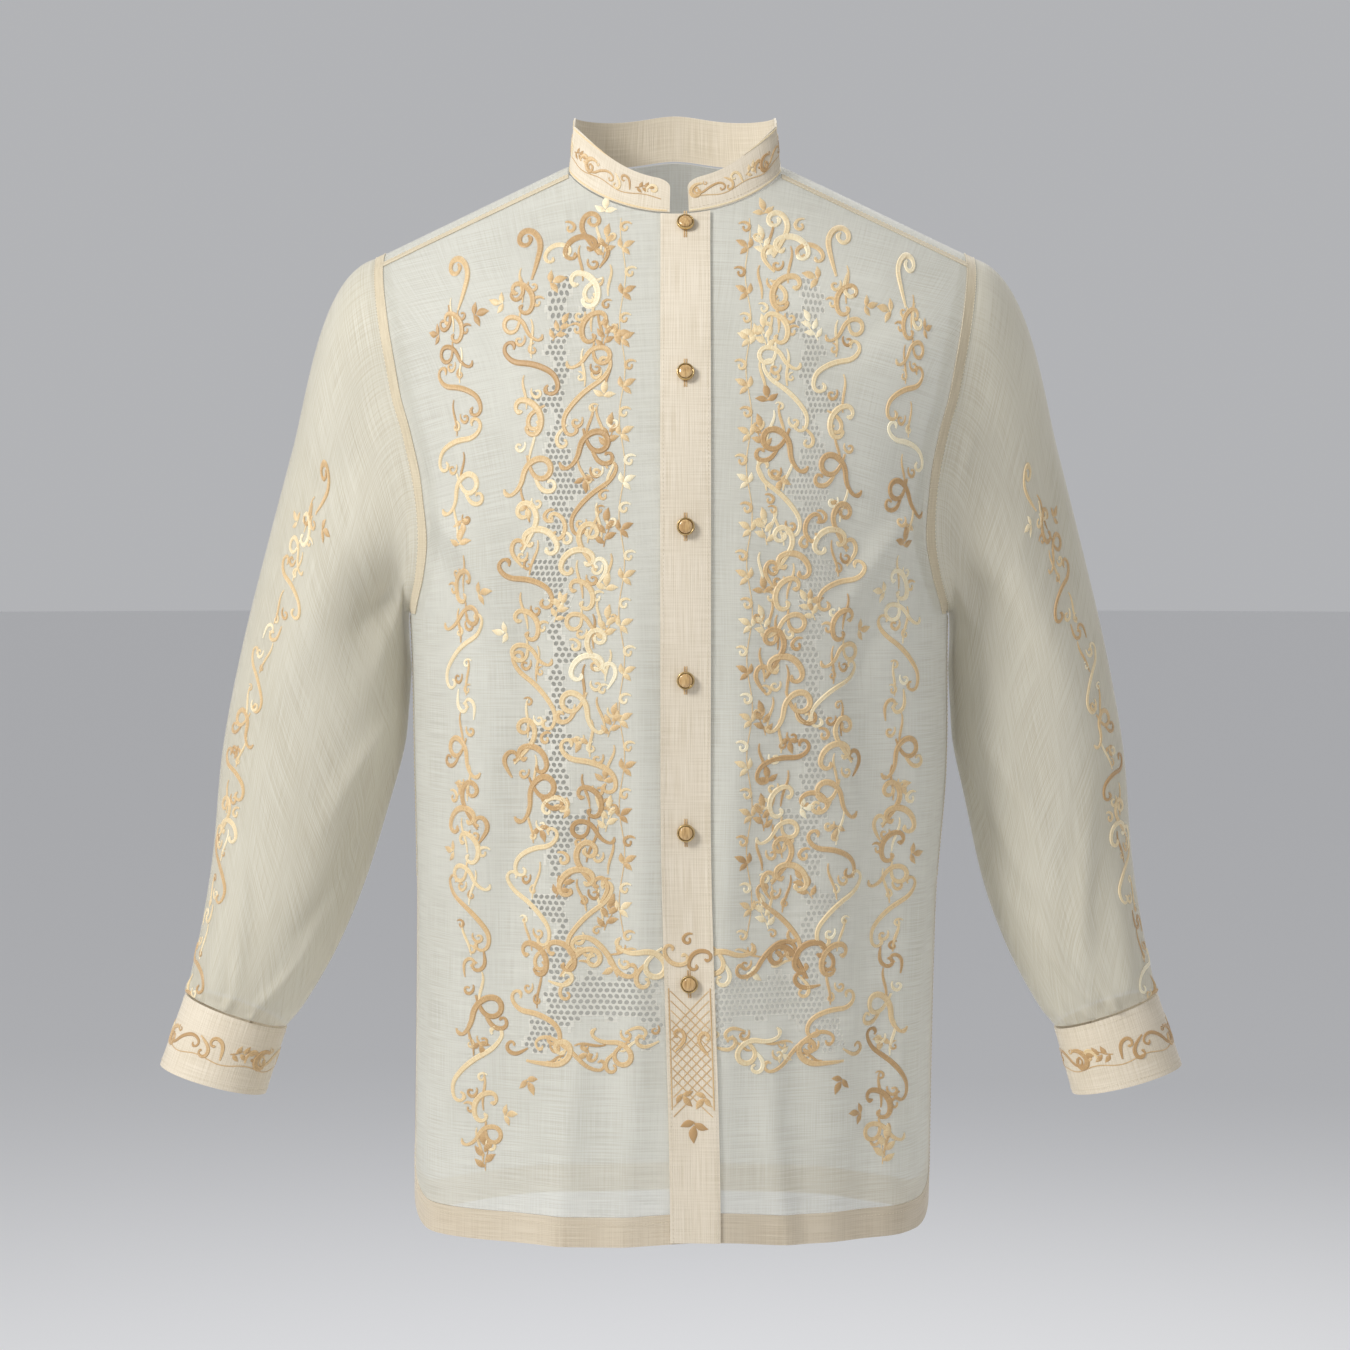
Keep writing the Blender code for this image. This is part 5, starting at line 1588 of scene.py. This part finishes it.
class BARONG_OT_seams(BarongOperator):
    """Build the felled seams at the armholes, shoulders and sides"""

    bl_idname = "barong.seams"
    bl_label = "Seam strips"

    def execute(self, context):
        stitches = Stitches()
        for label, side in SIDES:
            strips = []
            for facing in (1, -1):
                lines = [armhole_line(side, facing, inside) for inside in
                         (0.0, SEAM_STRIP / 2, SEAM_STRIP)]
                grid = np.array(lines).transpose(1, 0, 2)
                if side * facing > 0:
                    grid = grid[:, ::-1]
                strips.append((f"armhole_{'front' if facing > 0 else 'back'}", grid))
            x = np.linspace(NECK_HALF_WIDTH + 0.001, SHOULDER_SEAM_END_X, SEAM_ROWS)
            over = np.radians(np.linspace(*SHOULDER_SEAM_TURNS, 3))[:, None]
            z = shoulder_height(x) - SHOULDER_ROUNDING * (1.0 - np.cos(over))
            grid = torso(side * fraction_at(x / half_width(z)), z, 1)
            strips.append(("shoulder", grid if side > 0 else grid[:, ::-1]))
            z = np.linspace(UNDERARM_Z - 0.002, SLIT_TOP_Z - SLIT_NOTCH, SEAM_ROWS)[:, None]
            away = np.array([-1.0, -0.5, 0.0, 0.5, 1.0]) * SEAM_STRIP * 0.6
            facing = np.where(away * side < 0, 1, -1)
            grid = torso(side * (1.0 - np.abs(away) / QUARTER_GIRTH) + 0.0 * z, z + 0.0 * away,
                         np.broadcast_to(facing, (SEAM_ROWS, 5)))
            strips.append(("side", grid))
            for name, grid in strips:
                across, down = (np.arange(grid.shape[axis]) * SEAM_CELL for axis in (1, 0))
                uv = np.stack(np.meshgrid(across, down), -1)
                piece = add_shell(f"seam_{name}_{label}", grid, SEAM_LOW, SEAM_HIGH, FINISHES["seam"], uv)
                normals = grid_normals(grid)
                lines = ((grid[:, k], normals[:, k]) for k in (0, -1))
                if name == "shoulder":
                    lines = ((grid[k], normals[k]) for k in (0, -1))
                for line, out in lines:
                    stitches.row(line + out * SEAM_HIGH, out)
        stitches.finish("stitches_seams", FINISHES["stitch"])
        return {"FINISHED"}


BUTTONHOLE_HALF_WIDTH = 0.75
BUTTONHOLE_HALF_LENGTH = 10.0


def motif_rows(line, draw):
    """The rows of a line of motifs at even steps: motif, across, up, turn, scale, flip."""
    rows = []
    for number, motif in enumerate(line.motifs):
        t = number / (len(line.motifs) - 1)
        aside = line.sway * math.sin(SWAY_STEP * number)
        across = line.start[0] + (line.end[0] - line.start[0]) * t + aside + draw.uniform(-1.0, 1.0)
        up = line.start[1] + (line.end[1] - line.start[1]) * t + draw.uniform(-2.0, 2.0)
        flip = 1 if number % 2 else -1
        turn = line.turn + flip * MOTIF_LEANS.get(motif, 0.0) + draw.uniform(-5.0, 5.0)
        size = line.size * MOTIF_SIZES.get(motif, MOTIF_SIZE) * draw.uniform(0.95, 1.05)
        rows.append((motif, across, up, turn, size, flip))
    return rows


class BARONG_OT_embroidery(BarongOperator):
    """Lay the embroidery of the fronts, sleeves, button band, collar and cuffs"""

    bl_idname = "barong.embroidery"
    bl_label = "Embroidery"

    def execute(self, context):
        seed = self.settings.seed
        for label, side in SIDES:
            threads = Threads(front_place(side), side, seed=seed + side)
            for line in FRONT_LINES:
                motifs_and_stems(threads, motif_rows(line, threads.draw))
            small_vine(threads)
            threads.finish(f"thread_front_{label}", FINISHES["thread"])
            threads = Threads(sleeve_place(sleeve_grid(side)), side, seed=seed + 10 + side)
            motifs_and_stems(threads, motif_rows(SLEEVE_VINE, threads.draw))
            threads.finish(f"thread_sleeve_{label}", FINISHES["thread"])
            place, length = band_place(cuff_grid(side))
            threads = Threads(place, -side, self.settings.firm_thickness / 2 + FIRM_CLEARANCE,
                              seed + 20 + side)
            band_vine(threads, length, *CUFF_VINE)
            threads.finish(f"thread_cuff_{label}", FINISHES["tan"])
        place, length = band_place(collar_grid()[0])
        threads = Threads(place, 1, self.settings.firm_thickness / 2 + FIRM_CLEARANCE, seed + 30)
        band_vine(threads, length, *COLLAR_VINE)
        threads.finish("thread_collar", FINISHES["tan"])
        top = PLACKET_LIFT + self.settings.firm_thickness + FIRM_CLEARANCE
        threads = Threads(placket_place, 1, top, seed + 40)
        for row in BAND_MOTIFS:
            threads.motif(*row)
        lattice(threads)
        for number in range(BUTTON_COUNT):
            up = (BUTTON_TOP_Z - BUTTON_STEP * number) / MM
            for aside in (-BUTTONHOLE_HALF_WIDTH, BUTTONHOLE_HALF_WIDTH):
                line = np.array([[aside, up + BUTTONHOLE_HALF_LENGTH - i * 2.0] for i in range(11)])
                threads.ribbon(line, np.full(11, 1.0), 1.0, 0.55)
        threads.finish("thread_placket", FINISHES["tan"])
        return {"FINISHED"}


STEM_LONGEST = 62.0
STEM_WIDTH = 2.3
STEM_BULGE = 5.0
STEM_SPAN = (0.16, 0.84)


def motifs_and_stems(threads, rows):
    """The motifs of a line, and thin curved stems that join each to the next."""
    for row in rows:
        threads.motif(*row)
    for number, (first, second) in enumerate(zip(rows, rows[1:])):
        start, end = np.array(first[1:3]), np.array(second[1:3])
        reach = end - start
        length = float(np.hypot(*reach))
        if length > STEM_LONGEST:
            continue
        t = np.linspace(*STEM_SPAN, 13)
        hand = 1.0 if number % 2 else -1.0
        aside = np.array([reach[1], -reach[0]]) / length
        bow = hand * STEM_BULGE * (np.sin(math.pi * t) + 0.5 * np.sin(2 * math.pi * t + 0.6))
        line = start + t[:, None] * reach + bow[:, None] * aside
        share = (t - STEM_SPAN[0]) / (STEM_SPAN[1] - STEM_SPAN[0])
        widths = STEM_WIDTH * (0.45 + 0.55 * np.sin(math.pi * share))
        threads.ribbon(line, widths, 1.0)
        curl = start + 0.5 * reach - hand * aside * STEM_BULGE
        threads.motif("curl", curl[0], curl[1], 90.0 * hand, 0.9, hand)


SMALL_VINE_ACROSS = 45.0
SMALL_VINE_TOP = -44.0
SMALL_VINE_END = -562.0
SMALL_VINE_WAVE = (2.0, 11.0)
SMALL_VINE_STEP = 17.0


def small_vine(threads):
    """A thin running stem beside the button band, with leaves in threes and small curls."""
    up = np.arange(SMALL_VINE_TOP, SMALL_VINE_END, -3.0)
    across = SMALL_VINE_ACROSS + SMALL_VINE_WAVE[0] * np.sin(up / SMALL_VINE_WAVE[1])
    threads.ribbon(np.stack([across, up], 1), np.full(len(up), 0.8), 0.8, 0.5)
    for number, height in enumerate(np.arange(SMALL_VINE_TOP - 6.0, SMALL_VINE_END, -SMALL_VINE_STEP)):
        at = SMALL_VINE_ACROSS + SMALL_VINE_WAVE[0] * math.sin(height / SMALL_VINE_WAVE[1])
        hand = 1 if number % 2 else -1
        if number % 2:
            threads.motif("trio", at + 1.5 * hand, height, 60.0 * hand, 0.75, 1)
        else:
            threads.motif("curl", at + 4.0 * hand, height, 20.0, 0.9, hand)


LATTICE_BARS = (-612.0, -676.0, -7.0)
LATTICE_RAILS = (-598.0, -690.0, -4.0)
LATTICE_HALF_WIDTH = 14.0
RAIL_ACROSS = 15.0


def lattice(threads):
    """The crossed bars low on the button band, and a rail at each side of them."""
    for hand in (-1, 1):
        for start in np.arange(*LATTICE_BARS):
            line = np.array([[hand * (4.0 * i - LATTICE_HALF_WIDTH), start + 12.0 - 4.0 * i]
                             for i in range(8)])
            threads.ribbon(line, np.full(8, 0.8), 0.8, 0.5)
    for edge in (-RAIL_ACROSS, RAIL_ACROSS):
        up = np.arange(*LATTICE_RAILS)
        threads.ribbon(np.stack([np.full(len(up), edge), up], 1), np.full(len(up), 0.9), 0.8, 0.5)


def band_vine(threads, length, middle, scale):
    """A running vine along a band's middle."""
    at, number = 8.0, 0
    while at < length - 8.0:
        motif, turn, own, flip, step = BAND_VINE[number % len(BAND_VINE)]
        lean = threads.draw.uniform(-8.0, 8.0)
        threads.motif(motif, at, middle + threads.draw.uniform(-1.0, 1.0), turn + lean, own * scale, flip)
        at += step * scale
        number += 1
    across = np.arange(6.0, length - 6.0, 2.5)
    up = middle - 7.0 * scale + 1.4 * np.sin(across / 6.0)
    threads.ribbon(np.stack([across, up], 1), np.full(len(across), 0.8), 0.8, 0.5)


# Cords on the collar, in mm: how far up each lies, and their width
COLLAR_CORDS = (1.2, 32.0)
COLLAR_CORD_WIDTH = 1.4


class BARONG_OT_edges(BarongOperator):
    """Sew the rows of stitches along the bands, and the cords on the collar's edges"""

    bl_idname = "barong.edges"
    bl_label = "Edge stitching"

    def execute(self, context):
        firm = self.settings.firm_thickness
        stitches = Stitches()
        points, _ = placket_grid()
        normals = grid_normals(points)
        for column in (1, -2):
            out = normals[:, column]
            stitches.row(points[:, column] + out * (PLACKET_LIFT + firm), out)
        for side in (1, -1):
            points, _ = facing_out(*band_grid(side, 1), side, 1)
            normals = grid_normals(points)
            out = normals[1, SLIT_ROWS:]
            stitches.row(points[1, SLIT_ROWS:] + out * firm / 2, out)
            grid = cuff_grid(side)
            if side > 0:
                grid = grid[:, ::-1]
            normals = grid_normals(grid)
            for row in (1, -2):
                stitches.row(grid[row] + normals[row] * firm / 2, normals[row])
        points, _ = whole_back(band_grid)
        normals = grid_normals(points)
        stitches.row(points[1] + normals[1] * firm / 2, normals[1])
        points, _ = collar_grid()
        normals = grid_normals(points)
        stitches.row(points[-2] + normals[-2] * firm / 2, normals[-2])
        stitches.finish("stitches_bands", FINISHES["stitch"])
        place, length = band_place(points)
        threads = Threads(place, 1, firm / 2, self.settings.seed)
        across = np.arange(1.5, length - 1.5, 1.5)
        for up in COLLAR_CORDS:
            line = np.stack([across, np.full(len(across), up)], 1)
            threads.ribbon(line, np.full(len(across), COLLAR_CORD_WIDTH), 1.0, 0.3)
        threads.finish("cord_collar", FINISHES["thread"])
        return {"FINISHED"}


# Buttons


# Radii, depths and widths of the turned buttons
CUP_FOOT, CUP_BELLY, CUP_RIM = 0.0052, 0.0065, 0.0062
CUP_RIM_WIDTH, CUP_HOLLOW = 0.0008, 0.0018
INLAY_RADIUS, INLAY_DEPTH = 0.0050, 0.0016
INLAY_DOME = ((0.0007, 0.88), (0.0004, 0.76), (0.0002, 0.6))
PLAIN_FOOT, PLAIN_RADIUS, PLAIN_RIM_WIDTH = 0.0044, 0.0050, 0.0012
PLAIN_HOLE, PLAIN_HOLE_RING = 0.00045, 0.0011
CUFF_BUTTON_COLUMN = 6
CUFF_BUTTON_LIFT = 0.0006


def start_piece(name, radius, depth, segments, finish):
    """Starts a turned piece as a disc standing on the origin."""
    bpy.ops.object.select_all(action="DESELECT")
    bpy.ops.mesh.primitive_cylinder_add(vertices=segments, radius=radius, depth=depth,
                                        location=(0.0, 0.0, depth / 2))
    piece = bpy.context.object
    piece.name = piece.data.name = name
    bpy.ops.object.transform_apply(location=True, rotation=False, scale=False)
    piece.data.materials.append(finish)
    return piece


def select_face(piece, upward=1.0):
    """Selects the one broad face of a turned piece that looks up or down, in edit mode."""
    bpy.ops.object.mode_set(mode="OBJECT")
    for polygon in piece.data.polygons:
        polygon.select = False
    for item in (*piece.data.vertices, *piece.data.edges):
        item.select = False
    broad = [p for p in piece.data.polygons if p.normal.z * upward > 0.95 and len(p.vertices) > 4]
    max(broad, key=lambda p: p.center.z * upward).select = True
    bpy.ops.object.mode_set(mode="EDIT")
    bpy.ops.mesh.select_mode(type="FACE")


def raise_face(piece, height, scale):
    """Extrudes the top face up by a height and sizes it."""
    select_face(piece)
    bpy.ops.mesh.extrude_region_move(TRANSFORM_OT_translate={"value": (0.0, 0.0, height)})
    bpy.ops.transform.resize(value=(scale, scale, 1.0))


def end_piece(piece, bevel):
    """Rounds a turned piece's edges and ends its making."""
    bpy.ops.object.mode_set(mode="OBJECT")
    modifier = piece.modifiers.new("Bevel", "BEVEL")
    modifier.width, modifier.segments, modifier.limit_method = bevel, 3, "ANGLE"
    modifier.angle_limit = math.radians(25.0)
    bpy.ops.object.modifier_apply(modifier=modifier.name)
    bpy.ops.object.shade_smooth_by_angle(angle=math.radians(35.0))


def make_cup(segments):
    """The brass cup of a front button."""
    piece = start_piece("cup", CUP_FOOT, 0.0004, segments, FINISHES["brass"])
    raise_face(piece, 0.0011, CUP_BELLY / CUP_FOOT)
    raise_face(piece, 0.0019, CUP_RIM / CUP_BELLY)
    select_face(piece)
    bpy.ops.mesh.inset(thickness=CUP_RIM_WIDTH)
    raise_face(piece, -CUP_HOLLOW, 0.98)
    end_piece(piece, 0.0002)
    return piece


def make_inlay(segments):
    """The domed wooden inlay of a front button."""
    piece = start_piece("inlay", INLAY_RADIUS, INLAY_DEPTH, segments, FINISHES["amber"])
    for height, scale in INLAY_DOME:
        raise_face(piece, height, scale)
    end_piece(piece, 0.00015)
    bpy.ops.object.mode_set(mode="EDIT")
    bpy.ops.mesh.select_all(action="SELECT")
    bpy.ops.transform.translate(value=(0.0, 0.0, INLAY_DEPTH))
    bpy.ops.object.mode_set(mode="OBJECT")
    return piece


def make_plain(segments):
    """A plain cuff button with four holes."""
    piece = start_piece("plain", PLAIN_FOOT, 0.0006, segments, FINISHES["shell"])
    raise_face(piece, 0.0007, PLAIN_RADIUS / PLAIN_FOOT)
    raise_face(piece, 0.0006, 0.94)
    select_face(piece)
    bpy.ops.mesh.inset(thickness=PLAIN_RIM_WIDTH)
    raise_face(piece, -0.0004, 0.92)
    end_piece(piece, 0.00015)
    cutters = []
    for turn in np.radians((45.0, 135.0, 225.0, 315.0)):
        place = (PLAIN_HOLE_RING * math.cos(turn), PLAIN_HOLE_RING * math.sin(turn), 0.001)
        bpy.ops.mesh.primitive_cylinder_add(vertices=12, radius=PLAIN_HOLE, depth=0.006, location=place)
        cutters.append(bpy.context.object)
    for cutter in cutters:
        bpy.ops.object.select_all(action="DESELECT")
        piece.select_set(True)
        bpy.context.view_layer.objects.active = piece
        hole = piece.modifiers.new("Hole", "BOOLEAN")
        hole.operation, hole.solver, hole.object = "DIFFERENCE", "EXACT", cutter
        bpy.ops.object.modifier_apply(modifier=hole.name)
        bpy.data.objects.remove(cutter)
    bpy.ops.object.shade_smooth_by_angle(angle=math.radians(35.0))
    return piece


def set_on(pattern, name, node, foot, outward):
    """Sets a copy of a button's part on the cloth, with its own mesh, at rest and unturned."""
    piece = pattern.copy()
    piece.data = pattern.data.copy()
    piece.name = piece.data.name = name
    bpy.context.scene.collection.objects.link(piece)
    piece.location = foot
    piece.rotation_mode = "QUATERNION"
    piece.rotation_quaternion = Vector(outward).to_track_quat("Z", "Y")
    bpy.ops.object.select_all(action="DESELECT")
    piece.select_set(True)
    bpy.context.view_layer.objects.active = piece
    bpy.ops.object.transform_apply(location=True, rotation=True, scale=True)
    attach(piece, "root")
    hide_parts(node)


def outward_at(place, across, up, handed):
    """The outward direction of cloth at a place."""
    step = 2.0
    down = place(across, up - step) - place(across, up + step)
    side = place(across + step, up) - place(across - step, up)
    return unit(np.cross(down, side)) * handed


class BARONG_OT_buttons(BarongOperator):
    """Model the turned buttons and set them on the button band and the cuffs"""

    bl_idname = "barong.buttons"
    bl_label = "Buttons"

    def execute(self, context):
        segments = self.settings.button_segments
        cup, inlay, plain = make_cup(segments), make_inlay(segments), make_plain(segments)
        for number in range(BUTTON_COUNT):
            up = np.array((BUTTON_TOP_Z - BUTTON_STEP * number) / MM)
            across = np.array(0.0)
            out = outward_at(placket_place, across, up, 1)
            foot = placket_place(across, up) + out * BUTTON_LIFT
            set_on(cup, f"brass_cup_{number + 1}", f"button_cup_{number + 1}", foot, out)
            set_on(inlay, f"amber_inlay_{number + 1}", f"button_inlay_{number + 1}",
                   foot, out)
        for label, side in SIDES:
            grid = cuff_grid(side)
            grid = grid if side < 0 else grid[:, ::-1]
            normals = grid_normals(grid)
            row = CUFF_ROWS // 2
            column = CUFF_BUTTON_COLUMN if side > 0 else -1 - CUFF_BUTTON_COLUMN
            out = normals[row, column]
            foot = grid[row, column] + out * (self.settings.firm_thickness / 2 + CUFF_BUTTON_LIFT)
            set_on(plain, f"shell_button_{label}", f"cuff_button_{label}", foot, out)
        for pattern in (cup, inlay, plain):
            bpy.data.objects.remove(pattern)
        return {"FINISHED"}


# Stage

FLOOR_Z = -1.45
FLOOR_RADIUS = 40.0
ROOM_COLOUR = (0.86, 0.87, 0.90, 1.0)
ROOM_STRENGTH = 0.52
# Each lamp's place, size in metres and watts; all of them are aimed at the chest
LAMPS = {
    "key": ((-1.8, -1.6, 1.2), 0.9, 70.0),
    "fill": ((2.3, -1.8, 0.4), 1.6, 8.0),
    "back": ((0.6, 2.6, 1.8), 1.8, 42.0),
}
LAMP_AIM = (0.0, 0.0, -0.20)
CAMERA_PLACE = (0.0, -2.9, -0.25)
CAMERA_AIM = (0.0, 0.0, -0.380)
CAMERA_LENS = 103.2
CAMERA_SENSOR = 36.0


def aimed(name, data, place, aim):
    """A lamp or camera set at a place and turned to face another."""
    holder = bpy.data.objects.new(name, data)
    holder.location = place
    holder.rotation_euler = (Vector(aim) - Vector(place)).to_track_quat("-Z", "Y").to_euler()
    bpy.context.scene.collection.objects.link(holder)
    return holder


class BARONG_OT_stage(BarongOperator):
    """Set up the floor, the soft lights and the camera"""

    bl_idname = "barong.stage"
    bl_label = "Stage"

    def execute(self, context):
        bpy.ops.object.select_all(action="DESELECT")
        bpy.ops.mesh.primitive_circle_add(vertices=96, radius=FLOOR_RADIUS, fill_type="NGON",
                                          location=(0.0, 0.0, FLOOR_Z))
        bpy.ops.object.transform_apply(location=True, rotation=False, scale=False)
        floor = bpy.context.object
        floor.name = floor.data.name = "floor"
        floor.data.materials.append(FINISHES["floor"])
        world = bpy.data.worlds.new("Soft room")
        world.use_nodes = True
        light = world.node_tree.nodes["Background"]
        light.inputs["Color"].default_value = ROOM_COLOUR
        light.inputs["Strength"].default_value = ROOM_STRENGTH
        context.scene.world = world
        context.scene.view_settings.view_transform = "Standard"
        for name, (place, size, watts) in LAMPS.items():
            lamp = bpy.data.lights.new(name, "AREA")
            lamp.energy, lamp.size = watts, size
            aimed(name, lamp, place, LAMP_AIM)
        camera = bpy.data.cameras.new("camera")
        camera.lens, camera.sensor_width = CAMERA_LENS, CAMERA_SENSOR
        context.scene.camera = aimed("camera", camera, CAMERA_PLACE, CAMERA_AIM)
        return {"FINISHED"}


class BARONG_PT_panel(bpy.types.Panel):
    """The barong's settings and building steps"""

    bl_idname = "BARONG_PT_panel"
    bl_label = "Barong tagalog"
    bl_space_type = "VIEW_3D"
    bl_region_type = "UI"
    bl_category = "Barong"

    def draw(self, context):
        for name in BarongSettings.__annotations__:
            self.layout.prop(context.scene.barong, name)
        for operator in OPERATORS:
            self.layout.operator(operator.bl_idname)


OPERATORS = (
    BARONG_OT_fronts, BARONG_OT_back, BARONG_OT_hems, BARONG_OT_placket, BARONG_OT_collar,
    BARONG_OT_sleeves, BARONG_OT_cuffs, BARONG_OT_seams, BARONG_OT_embroidery, BARONG_OT_edges,
    BARONG_OT_buttons, BARONG_OT_stage,
)


def register():
    for item in (BarongSettings, *OPERATORS, BARONG_PT_panel):
        bpy.utils.register_class(item)
    bpy.types.Scene.barong = bpy.props.PointerProperty(type=BarongSettings)


def unregister():
    del bpy.types.Scene.barong
    for item in reversed((BarongSettings, *OPERATORS, BARONG_PT_panel)):
        bpy.utils.unregister_class(item)


def main():
    register()
    FINISHES.update(make_finishes())
    bpy.ops.object.select_all(action="DESELECT")
    for operator in OPERATORS:
        name = operator.bl_idname.split(".")[1]
        if getattr(bpy.ops.barong, name)() != {"FINISHED"}:
            raise RuntimeError(f"{operator.bl_label} did not finish")


if __name__ == "__main__":
    main()
